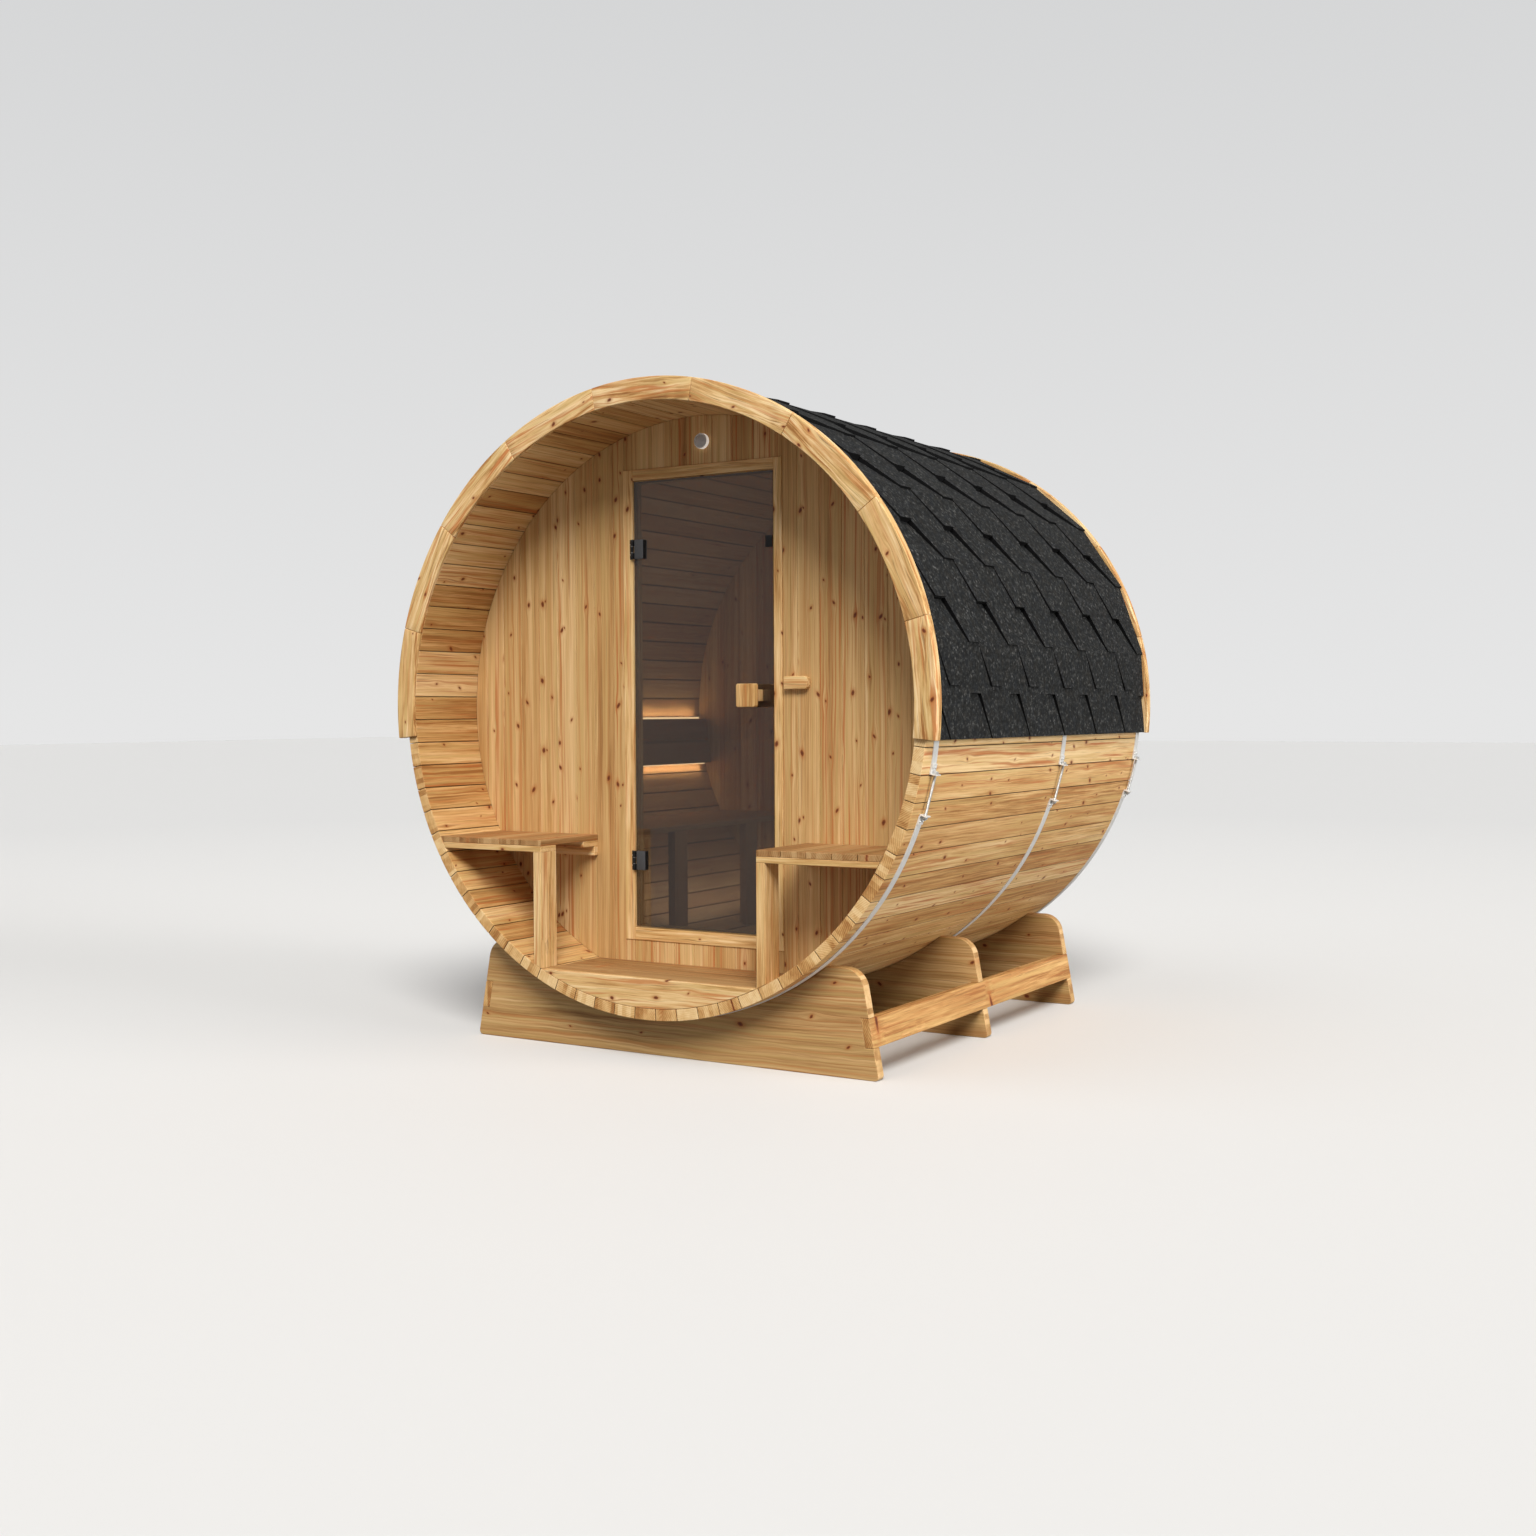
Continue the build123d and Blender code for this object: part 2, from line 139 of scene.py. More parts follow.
def prism(poly, c0, c1, plane="xz"):
    """A closed prism: an outline in one plane, drawn out along the third axis."""
    bm = bmesh.new()

    def at(a, b, c):
        if plane == "xz":
            return (a, c, b)
        if plane == "xy":
            return (a, b, c)
        return (c, a, b)  # yz

    lo = [bm.verts.new(at(a, b, c0)) for a, b in poly]
    hi = [bm.verts.new(at(a, b, c1)) for a, b in poly]
    bm.faces.new(lo[::-1])
    bm.faces.new(hi)
    for i in range(len(poly)):
        j = (i + 1) % len(poly)
        bm.faces.new((lo[i], lo[j], hi[j], hi[i]))
    return bm


def box(x0, x1, y0, y1, z0, z1):
    return prism([(x0, z0), (x1, z0), (x1, z1), (x0, z1)], y0, y1)


GRAIN = {
    "x": (lambda p: (p[0], p[2], p[1]), (1, 0, 0)),
    "y": (lambda p: (p[1], p[0], p[2]), (0, 1, 0)),
    "z": (lambda p: (p[2], p[0], p[1]), (0, 0, 1)),
}


def grain(axis):
    f, d = GRAIN[axis]
    return dict(grain=f, gdir=d)


def rounded(cx, cz, w, h, r, n=5):
    pts = []
    for sx, sz, a0 in ((1, 1, 0), (-1, 1, 90), (-1, -1, 180), (1, -1, 270)):
        for k in range(n + 1):
            a = rad(a0 + 90.0 * k / n)
            pts.append((cx + sx * (w / 2 - r) + r * math.cos(a), cz + sz * (h / 2 - r) + r * math.sin(a)))
    return pts


def cylinder(p0, p1, r, n=20, rings=1, prof=None):
    """A turned bar from p0 to p1; prof is a list of (share of the length, radius)."""
    bm = bmesh.new()
    p0, p1 = Vector(p0), Vector(p1)
    d = (p1 - p0).normalized()
    s = d.orthogonal().normalized()
    t = d.cross(s)
    prof = prof or [(k / rings, r) for k in range(rings + 1)]
    loops = []
    for q, rr in prof:
        c = p0.lerp(p1, q)
        loops.append([bm.verts.new(c + (s * math.cos(2 * math.pi * k / n) + t * math.sin(2 * math.pi * k / n)) * rr)
                      for k in range(n)])
    for a, b in zip(loops[:-1], loops[1:]):
        for k in range(n):
            m = (k + 1) % n
            bm.faces.new((a[k], a[m], b[m], b[k]))
    bm.faces.new(loops[0][::-1])
    bm.faces.new(loops[-1])
    return bm


# ------------------------------------------------------------------ materials
def srgb(r, g, b):
    return tuple((c / 255.0 / 12.92) if c / 255.0 <= 0.04045 else ((c / 255.0 + 0.055) / 1.055) ** 2.4
                 for c in (r, g, b)) + (1.0,)


class Tree:
    def __init__(self, name):
        self.mat = bpy.data.materials.new(name)
        self.mat.use_nodes = True
        self.nt = self.mat.node_tree
        self.nt.nodes.clear()
        self.out = self.nt.nodes.new("ShaderNodeOutputMaterial")
        self.bsdf = self.nt.nodes.new("ShaderNodeBsdfPrincipled")
        self.nt.links.new(self.bsdf.outputs[0], self.out.inputs[0])

    def put(self, sock, v):
        if isinstance(v, bpy.types.NodeSocket):
            self.nt.links.new(v, sock)
        elif v is not None:
            sock.default_value = v

    def math(self, op, a, b=None, c=None, clamp=False):
        n = self.nt.nodes.new("ShaderNodeMath")
        n.operation, n.use_clamp = op, clamp
        for i, v in enumerate((a, b, c)):
            if v is not None:
                self.put(n.inputs[i], v)
        return n.outputs[0]

    def vmath(self, op, a, b=None, c=None):
        n = self.nt.nodes.new("ShaderNodeVectorMath")
        n.operation = op
        for i, v in enumerate((a, b, c)):
            if v is not None:
                self.put(n.inputs[i], v)
        return n.outputs[0]

    def sep(self, v):
        n = self.nt.nodes.new("ShaderNodeSeparateXYZ")
        self.put(n.inputs[0], v)
        return n.outputs[0], n.outputs[1], n.outputs[2]

    def comb(self, x, y, z):
        n = self.nt.nodes.new("ShaderNodeCombineXYZ")
        for i, v in enumerate((x, y, z)):
            self.put(n.inputs[i], v)
        return n.outputs[0]

    def attr(self, name, out="Vector"):
        n = self.nt.nodes.new("ShaderNodeAttribute")
        n.attribute_name = name
        return n.outputs[out]

    def noise(self, vec, scale=1.0, detail=2.0, rough=0.5, dist=0.0):
        n = self.nt.nodes.new("ShaderNodeTexNoise")
        self.put(n.inputs["Vector"], vec)
        n.inputs["Scale"].default_value = scale
        n.inputs["Detail"].default_value = detail
        n.inputs["Roughness"].default_value = rough
        n.inputs["Distortion"].default_value = dist
        return n.outputs["Fac"] if "Fac" in n.outputs else n.outputs[0]

    def ramp(self, fac, stops, interp="LINEAR"):
        n = self.nt.nodes.new("ShaderNodeValToRGB")
        n.color_ramp.interpolation = interp
        el = n.color_ramp.elements
        while len(el) > 1:
            el.remove(el[-1])
        el[0].position, el[0].color = stops[0]
        for p, c in stops[1:]:
            e = el.new(p)
            e.color = c
        self.put(n.inputs[0], fac)
        return n.outputs[0]

    def mix(self, fac, a, b, mode="MIX"):
        n = self.nt.nodes.new("ShaderNodeMix")
        n.data_type, n.blend_type = "RGBA", mode
        self.put(n.inputs[0], fac)
        self.put(n.inputs[6], a)
        self.put(n.inputs[7], b)
        return n.outputs[2]

    def span(self, v, a, b, c=0.0, d=1.0):
        n = self.nt.nodes.new("ShaderNodeMapRange")
        self.put(n.inputs[0], v)
        for i, q in enumerate((a, b, c, d)):
            self.put(n.inputs[1 + i], q)
        return n.outputs[0]

    def bump(self, height, dist, strength=1.0):
        n = self.nt.nodes.new("ShaderNodeBump")
        n.inputs["Strength"].default_value = strength
        n.inputs["Distance"].default_value = dist
        self.put(n.inputs["Height"], height)
        self.nt.links.new(n.outputs[0], self.bsdf.inputs["Normal"])


def wood(name, dark, mid, light, pale, red, knot_share=0.28, tint=0.16, seed=0.0, rough=0.52,
         knots=(4.3, 12.5), knot_r=(0.0026, 0.0046), wave=0.020, line=0.5, contrast=1.0,
         short=1.0, strips=0.0, warm=0.55, calm_joint_shade=False):
    """Planed knotty softwood.  The grain follows each board's own axes, so end
    faces show rings and faces show streaks that flow round the knots."""
    t = Tree(name)
    g = t.attr("gco")
    u, v, w = t.sep(g)
    r1, r2, r3 = t.sep(t.attr("brd"))
    endg = t.attr("endg", "Fac")
    n_w = t.noise(t.comb(t.math("MULTIPLY", u, 1.3), t.math("MULTIPLY", v, 7.0), t.math("MULTIPLY", w, 7.0)), 1.0, 2.0)
    n_x = t.noise(t.comb(t.math("MULTIPLY", u, 6.0), t.math("MULTIPLY", v, 22.0), t.math("MULTIPLY", w, 22.0)), 1.0, 2.0)
    v1 = t.math("ADD", v, t.math("MULTIPLY", t.math("SUBTRACT", n_w, 0.5), wave))
    v1 = t.math("ADD", v1, t.math("MULTIPLY", t.math("SUBTRACT", n_x, 0.5), wave * 0.25))
    # knots
    ku, kv = knots
    kc = t.comb(t.math("MULTIPLY_ADD", u, ku, seed), t.math("MULTIPLY", v1, kv), 0.0)
    vor = t.nt.nodes.new("ShaderNodeTexVoronoi")
    vor.voronoi_dimensions, vor.feature = "2D", "F1"
    vor.inputs["Scale"].default_value = 1.0
    t.put(vor.inputs["Vector"], kc)
    dx, dy, _ = t.sep(t.vmath("SUBTRACT", kc, vor.outputs["Position"]))
    du = t.math("DIVIDE", dx, ku)
    dv = t.math("DIVIDE", dy, kv)
    cr, cg, cb = t.sep(vor.outputs["Color"])
    there = t.math("GREATER_THAN", cr, knot_share)
    rk = t.math("MULTIPLY_ADD", t.math("POWER", cg, 1.6), knot_r[1], knot_r[0])
    wob = t.math("MULTIPLY", t.math("SUBTRACT", t.noise(g, 150.0, 2.0), 0.5), 0.0036)
    lean = t.math("MULTIPLY_ADD", cb, 0.9, -0.45)
    dl = t.math("ADD", dv, t.math("MULTIPLY", du, lean))
    dd = t.math("SQRT", t.math("ADD", t.math("POWER", t.math("MULTIPLY", du, 0.66), 2.0), t.math("POWER", dl, 2.0)))
    dd = t.math("ADD", dd, wob)
    q = t.math("DIVIDE", dd, rk)
    knot = t.math("MULTIPLY", t.span(q, 1.15, 0.75), there)
    core = t.math("MULTIPLY", t.span(q, 0.7, 0.2), there)
    halo = t.math("MULTIPLY", t.math("POWER", t.span(q, 3.2, 0.9), 1.8), there)
    e = t.math("SUBTRACT", 1.0, t.math("SQRT", t.math("ADD", t.math("POWER", t.math("DIVIDE", du, 0.062), 2.0),
                                                    t.math("POWER", t.math("DIVIDE", dv, 0.021), 2.0))), clamp=True)
    e = t.math("MULTIPLY", t.math("POWER", e, 1.3), there)
    v2 = t.math("SUBTRACT", v1, t.math("MULTIPLY", t.math("MULTIPLY", dv, e), 1.15))

    def streak(su, sv, det, ro, add=0.0):
        return t.noise(t.comb(t.math("MULTIPLY_ADD", u, su, add), t.math("MULTIPLY", v2, sv), t.math("MULTIPLY", w, sv)),
                       1.0, det, ro)

    n1 = streak(0.9 * short, 31.0, 2.0, 0.5)
    n2 = streak(1.5 * short, 72.0, 5.0, 0.66, 3.0)
    n3 = streak(10.0, 620.0, 2.0, 0.5)
    n4 = streak(1.1 * short, 95.0, 3.0, 0.55, 9.0)
    n5 = streak(1.7 * short, 210.0, 3.0, 0.6, 15.0)
    n7 = streak(0.7 * short, 62.0, 2.0, 0.5, 27.0)
    n6 = t.noise(t.comb(t.math("MULTIPLY", u, 2.2), t.math("MULTIPLY", v, 14.0), t.math("MULTIPLY", w, 14.0)), 1.0, 2.0)
    # growth rings round a far heart
    rr = t.math("SQRT", t.math("ADD",
                               t.math("POWER", t.math("ADD", v2, t.math("MULTIPLY_ADD", r1, 0.2, -0.1)), 2.0),
                               t.math("POWER", t.math("ADD", w, t.math("MULTIPLY_ADD", r2, 0.06, 0.02)), 2.0)))
    ring = t.math("MULTIPLY_ADD", t.math("SINE", t.math("MULTIPLY_ADD", n1, 9.0, t.math("MULTIPLY", rr, 900.0))), 0.5, 0.5)
    side = t.math("ADD", t.math("MULTIPLY", n1, 0.32), t.math("ADD", t.math("MULTIPLY", n2, 0.50), t.math("MULTIPLY", n3, 0.18)))
    # some parts of a board are plain, others are full of lines
    busy = t.span(t.noise(t.comb(t.math("MULTIPLY_ADD", u, 1.6, 51.0), t.math("MULTIPLY", v, 9.0), t.math("MULTIPLY", w, 9.0)), 1.0, 2.0),
                  0.36, 0.64, 0.6 * contrast, 1.35 * contrast)
    side = t.math("MULTIPLY_ADD", t.math("SUBTRACT", side, 0.5), busy, 0.5)
    side = t.math("ADD", side, t.math("MULTIPLY", t.math("SUBTRACT", ring, 0.5), 0.05))
    end = t.math("ADD", t.math("MULTIPLY", ring, 0.10), t.math("MULTIPLY", n3, 0.10))
    end = t.math("ADD", end, t.math("MULTIPLY_ADD", n1, 0.3, 0.27))
    # each end shows a few pieces of different tone
    we = t.nt.nodes.new("ShaderNodeTexWhiteNoise")
    we.noise_dimensions = "2D"
    t.put(we.inputs["Vector"], t.comb(t.math("FLOOR", t.math("MULTIPLY", v, 52.0)), t.math("FLOOR", t.math("MULTIPLY", r1, 97.0)), 0.0))
    end = t.math("ADD", end, t.math("MULTIPLY_ADD", we.outputs["Value"], 0.20, -0.09))
    f = t.math("ADD", t.math("MULTIPLY", side, t.math("SUBTRACT", 1.0, endg)), t.math("MULTIPLY", end, endg))
    f = t.math("ADD", f, t.math("MULTIPLY", t.math("SUBTRACT", r3, 0.5), tint))
    if strips:
        # strips of slightly different wood within a board
        wn = t.nt.nodes.new("ShaderNodeTexWhiteNoise")
        wn.noise_dimensions = "2D"
        t.put(wn.inputs["Vector"], t.comb(t.math("FLOOR", t.math("MULTIPLY", v, 1000.0 / strips)),
                                          t.math("FLOOR", t.math("MULTIPLY", r1, 97.0)), 0.0))
        f = t.math("ADD", f, t.math("MULTIPLY_ADD", wn.outputs["Value"], 0.09, -0.045))
    col = t.ramp(f, [(0.32, dark), (0.42, mid), (0.52, light), (0.66, pale)])
    # yellower streaks, thin warm ones, and thin dark growth lines that come and go
    face = t.math("SUBTRACT", 1.0, t.math("MULTIPLY", endg, 0.8))
    col = t.mix(t.math("MULTIPLY", t.span(n7, 0.48, 0.64, 0.0, 0.55), face), col,
                tuple(c * k for c, k in zip(light, (0.86, 0.92, 0.80, 1.0))))
    redf = t.math("MULTIPLY", t.math("MULTIPLY", t.span(n4, 0.52, 0.64), t.math("MULTIPLY_ADD", r1, warm, 0.2)), face)
    col = t.mix(redf, col, red)
    lines = t.math("MULTIPLY", t.span(n5, 0.57, 0.68), t.span(n6, 0.36, 0.60, 0.25, 1.0))
    col = t.mix(t.math("MULTIPLY", t.math("MULTIPLY", lines, line), face), col, srgb(122, 80, 42))
    col = t.mix(t.math("MULTIPLY", halo, 0.62), col, srgb(172, 100, 46))
    col = t.mix(t.math("MULTIPLY", knot, 0.88), col, srgb(116, 52, 22))
    col = t.mix(t.math("MULTIPLY", core, 0.6), col, srgb(70, 28, 14))
    if calm_joint_shade:
        # round walls: inside the cabin the staves are plain, and painted shade
        # darkens the joints on both faces, more on the inside
        tc = t.nt.nodes.new("ShaderNodeTexCoord")
        px, py, pz = t.sep(tc.outputs["Object"])
        pz = t.math("SUBTRACT", pz, ZA * MM)
        pr = t.math("SQRT", t.math("ADD", t.math("MULTIPLY", px, px), t.math("MULTIPLY", pz, pz)))
        turn = t.math("MULTIPLY", t.math("ARCTAN2", pz, px), N_STAVES / (2 * math.pi))
        turn = t.math("ABSOLUTE", t.math("SUBTRACT", t.math("FRACT", t.math("ADD", turn, 100.0)), 0.5))
        inside = t.math("MULTIPLY", t.math("LESS_THAN", pr, (RI + 6.0) * MM), t.math("GREATER_THAN", py, (Y_WALL + T_WALL + Y0) * MM))
        near = t.span(turn, t.math("MULTIPLY_ADD", inside, 0.024, 0.032), 0.012)
        col = t.mix(t.math("MULTIPLY", inside, 0.62), col, srgb(182, 146, 108))
        # painted shade in the gaps between the staves
        joint_shade = t.math("MULTIPLY", near, t.math("MULTIPLY_ADD", inside, 0.20, 0.66))
        col = t.mix(t.math("MULTIPLY", joint_shade, t.math("SUBTRACT", 1.0, endg)), col, srgb(62, 38, 20))
    t.put(t.bsdf.inputs["Base Color"], col)
    t.put(t.bsdf.inputs["Roughness"], t.math("MULTIPLY_ADD", n2, 0.16, rough - 0.08))
    t.bsdf.inputs["Specular IOR Level"].default_value = 0.35
    h = t.math("ADD", t.math("MULTIPLY", n3, 0.6), t.math("MULTIPLY", n2, 0.4))
    h = t.math("ADD", h, t.math("MULTIPLY", knot, 0.25))
    t.bump(h, 0.0006, 0.5)
    return t.mat


WOOD_TRIM = wood("wood_trim", srgb(166, 116, 62), srgb(198, 152, 94), srgb(221, 180, 122), srgb(238, 205, 154),
                 srgb(194, 124, 68), knot_share=0.34, seed=0.0, tint=0.12, contrast=1.45, short=2.4, wave=0.034,
                 line=0.6, warm=0.65)
WOOD_STAVE = wood("wood_stave", srgb(156, 104, 54), srgb(192, 144, 86), srgb(217, 175, 117), srgb(235, 202, 150),
                  srgb(184, 106, 54), knot_share=0.26, tint=0.24, seed=40.0, line=0.6, contrast=1.1, warm=0.75,
                  short=1.8, calm_joint_shade=True)
WOOD_WALL = wood("wood_wall", srgb(152, 106, 58), srgb(184, 140, 86), srgb(207, 167, 112), srgb(226, 191, 140),
                 srgb(180, 106, 54), knot_share=0.24, tint=0.14, seed=80.0, line=0.45,
                 knots=(4.6, 12.0), knot_r=(0.0030, 0.0044), contrast=0.85, strips=31.0, warm=0.7)
# a darker copy of the wood for the seats and the porch floor: painted shade on the faces that look up in the porch
WOOD_SEAT_SHADED = wood("wood_seat_shaded", srgb(120, 79, 41), srgb(149, 106, 61), srgb(170, 129, 82), srgb(192, 154, 106),
                 srgb(178, 106, 54), knot_share=0.34, tint=0.16, seed=200.0, contrast=1.3, line=0.6, warm=0.7)
WOOD_ARCH = wood("wood_arch", srgb(160, 108, 56), srgb(198, 151, 93), srgb(222, 181, 123), srgb(240, 208, 158),
                 srgb(194, 118, 62), knot_share=0.34, seed=240.0, tint=0.12, contrast=1.9, short=3.4, wave=0.05,
                 line=0.85, warm=0.75)
WOOD_INNER = wood("wood_inner", srgb(128, 94, 62), srgb(148, 112, 78), srgb(164, 128, 92), srgb(178, 142, 106),
                  srgb(150, 104, 70), knot_share=0.8, tint=0.05, seed=160.0, line=0.15, contrast=0.6, warm=0.2)
WOOD_PLANK = wood("wood_plank", srgb(134, 92, 48), srgb(170, 128, 78), srgb(200, 160, 106), srgb(222, 187, 138),
                  srgb(176, 110, 58), knot_share=0.32, tint=0.08, seed=120.0, line=0.5, wave=0.05,
                  knots=(3.4, 9.0), knot_r=(0.0036, 0.0056), contrast=1.0)


def shingle_mats():
    """Mineral-faced shingles: a dark grit of mixed grains, and bare black
    bitumen on the cut edges."""
    t = Tree("shingle")
    g = t.attr("gco")
    r1, r2, r3 = t.sep(t.attr("brd"))
    fine = t.noise(g, 420.0, 2.0, 0.6)
    mid = t.noise(g, 74.0, 3.0, 0.7)
    low = t.noise(g, 11.0, 3.0, 0.55)
    hue = t.noise(g, 38.0, 3.0, 0.6)
    f = t.math("ADD", t.math("MULTIPLY", fine, 0.28), t.math("MULTIPLY", mid, 0.72))
    col = t.ramp(f, [(0.39, srgb(6, 7, 7)), (0.47, srgb(19, 20, 20)), (0.54, srgb(31, 32, 32)), (0.60, srgb(52, 52, 51)),
                     (0.66, srgb(82, 82, 80))])
    col = t.mix(t.span(hue, 0.50, 0.72, 0.0, 0.35), col, srgb(46, 41, 35))
    col = t.mix(t.span(hue, 0.50, 0.28, 0.0, 0.30), col, srgb(32, 36, 43))
    # single pale grains
    vor = t.nt.nodes.new("ShaderNodeTexVoronoi")
    vor.inputs["Scale"].default_value = 80.0
    t.put(vor.inputs["Vector"], g)
    s1, s2, s3 = t.sep(vor.outputs["Color"])
    spot = t.span(vor.outputs["Distance"], 0.44, 0.24)
    fleck = t.math("MULTIPLY", t.math("GREATER_THAN", s1, 0.86), spot)
    col = t.mix(t.math("MULTIPLY", fleck, t.math("MULTIPLY_ADD", s2, 0.45, 0.12)), col, srgb(104, 103, 101))
    hole = t.math("MULTIPLY", t.math("LESS_THAN", s1, 0.16), spot)
    col = t.mix(t.math("MULTIPLY", hole, 0.8), col, srgb(7, 8, 8))
    k = t.math("MULTIPLY_ADD", r1, 0.12, 0.94)
    k = t.math("ADD", k, t.math("MULTIPLY", t.math("SUBTRACT", low, 0.5), 0.5))
    n = t.nt.nodes.new("ShaderNodeHueSaturation")
    t.put(n.inputs["Color"], col)
    t.put(n.inputs["Value"], k)
    t.put(t.bsdf.inputs["Base Color"], n.outputs[0])
    t.bsdf.inputs["Roughness"].default_value = 0.90
    t.bsdf.inputs["Specular IOR Level"].default_value = 0.22
    t.bump(f, 0.0014, 0.8)
    s = Tree("shingle_edge")
    n1 = s.noise(s.attr("gco"), 240.0, 2.0)
    s.put(s.bsdf.inputs["Base Color"], s.ramp(n1, [(0.35, srgb(9, 9, 10)), (0.65, srgb(20, 20, 21))]))
    s.bsdf.inputs["Roughness"].default_value = 0.85
    s.bsdf.inputs["Specular IOR Level"].default_value = 0.15
    s.bump(n1, 0.0004, 0.5)
    return [t.mat, s.mat]


def steel_mat(name, base, rough, streaks=60.0, metal=1.0):
    t = Tree(name)
    g = t.attr("gco")
    u, v, w = t.sep(g)
    n1 = t.noise(t.comb(t.math("MULTIPLY", u, 6.0), t.math("MULTIPLY", v, streaks * 8), t.math("MULTIPLY", w, streaks * 8)), 1.0, 3.0)
    n2 = t.noise(g, 45.0, 3.0, 0.6)
    f = t.math("MULTIPLY_ADD", n2, 0.5, t.math("MULTIPLY", n1, 0.5))
    lo = tuple(c * 0.86 for c in base[:3]) + (1,)
    t.put(t.bsdf.inputs["Base Color"], t.ramp(f, [(0.35, lo), (0.65, base)]))
    t.bsdf.inputs["Metallic"].default_value = metal
    t.put(t.bsdf.inputs["Roughness"], t.math("MULTIPLY_ADD", f, 0.25, rough - 0.12))
    t.bump(n1, 0.0002, 0.3)
    return t.mat


def dark_metal(name, lo, hi, rough):
    t = Tree(name)
    g = t.attr("gco")
    n1 = t.noise(g, 260.0, 3.0, 0.6)
    t.put(t.bsdf.inputs["Base Color"], t.ramp(n1, [(0.35, lo), (0.65, hi)]))
    t.bsdf.inputs["Metallic"].default_value = 0.3
    t.put(t.bsdf.inputs["Roughness"], t.math("MULTIPLY_ADD", n1, 0.2, rough - 0.1))
    t.bump(n1, 0.0002, 0.3)
    return t.mat


def glass_mat():
    """Bronze-tinted float glass: dim and see-through with clear reflections."""
    t = Tree("glass_tinted")
    tc = t.nt.nodes.new("ShaderNodeTexCoord")
    n1 = t.noise(tc.outputs["Object"], 1.7, 2.0, 0.5)
    t.put(t.bsdf.inputs["Base Color"], t.ramp(n1, [(0.3, srgb(34, 30, 29)), (0.7, srgb(40, 36, 34))]))
    t.bsdf.inputs["Roughness"].default_value = 0.015
    t.bsdf.inputs["IOR"].default_value = 1.7
    t.bsdf.inputs["Specular IOR Level"].default_value = 0.9
    t.bsdf.inputs["Alpha"].default_value = 0.56
    t.mat.surface_render_method = "BLENDED"
    return t.mat


def glow_mat(name, colour, strength, base):
    t = Tree(name)
    tc = t.nt.nodes.new("ShaderNodeTexCoord")
    u, v, w = t.sep(tc.outputs["Object"])
    # rows of small emitters under one diffuser
    dots = t.math("MULTIPLY_ADD", t.math("SINE", t.math("MULTIPLY", v, 2 * math.pi / 0.0167)), 0.08, 0.92)
    t.bsdf.inputs["Base Color"].default_value = base
    t.bsdf.inputs["Roughness"].default_value = 0.4
    t.put(t.bsdf.inputs["Emission Color"], t.mix(dots, srgb(255, 190, 120), colour))
    t.bsdf.inputs["Emission Strength"].default_value = strength
    return t.mat


SHINGLE = shingle_mats()
STEEL = steel_mat("steel", srgb(240, 239, 236), 0.46, metal=0.42)
THREAD = steel_mat("steel_thread", srgb(214, 214, 212), 0.34, 20.0, metal=0.7)
HINGE = dark_metal("hinge_metal", srgb(66, 67, 69), srgb(84, 84, 86), 0.45)
KNUCKLE = dark_metal("hinge_black", srgb(20, 20, 21), srgb(30, 30, 31), 0.30)
GLASS = glass_mat()
LED = glow_mat("led", srgb(255, 220, 164), 3.4, srgb(255, 230, 200))
SCREW = steel_mat("screw_steel", srgb(190, 190, 188), 0.3, metal=0.8)


# ------------------------------------------------------------------ staves
PITCH = 360.0 / N_STAVES
groups = {
    "staves_bottom": (270 - 4.5 * PITCH, 9), "staves_lower_right": (270 + 4.5 * PITCH, 10),
    "staves_right": (270 + 14.5 * PITCH, 9), "staves_upper_right": (270 + 23.5 * PITCH, 10),
    "staves_top": (90 - 4.5 * PITCH, 9), "staves_upper_left": (90 + 4.5 * PITCH, 10),
    "staves_left": (90 + 14.5 * PITCH, 9), "staves_lower_left": (90 + 23.5 * PITCH, 10),
}
for name, (start, count) in groups.items():
    p = Piece("vis_" + name)
    for k in range(count):
        a0, a1 = start + k * PITCH, start + (k + 1) * PITCH
        half = math.degrees(0.9 / RI)
        a0, a1 = a0 + half, a1 - half
        am = (a0 + a1) / 2
        n = 4
        poly = [polar(RO - 0.2, a0 + (a1 - a0) * i / n) for i in range(n + 1)]
        poly += [polar(RI + 0.2, a1 - (a1 - a0) * i / n) for i in range(n + 1)]
        bm = prism(poly, 0.5, L - 0.5)
        ca, sa = math.cos(rad(am)), math.sin(rad(am))
        p.add(bm, bevel=2.2, seg=2,
              grain=lambda q, ca=ca, sa=sa: (q[1], -q[0] * sa + q[2] * ca, q[0] * ca + q[2] * sa), gdir=(0, 1, 0))
        # the tongue that closes the joint to the next stave
        if k < count - 1:
            aj, ht = a1 + half, math.degrees(2.6 / RO)
            poly = [polar(RO - 15.0, aj - ht), polar(RO - 15.0, aj + ht), polar(RI + 15.0, aj + ht), polar(RI + 15.0, aj - ht)]
            p.add(prism(poly, 6.0, L - 6.0), bevel=0.0, slot=0,
                  grain=lambda q, ca=ca, sa=sa: (q[1], -q[0] * sa + q[2] * ca, q[0] * ca + q[2] * sa), gdir=(0, 1, 0))
    p.make(WOOD_STAVE, replaces=name)

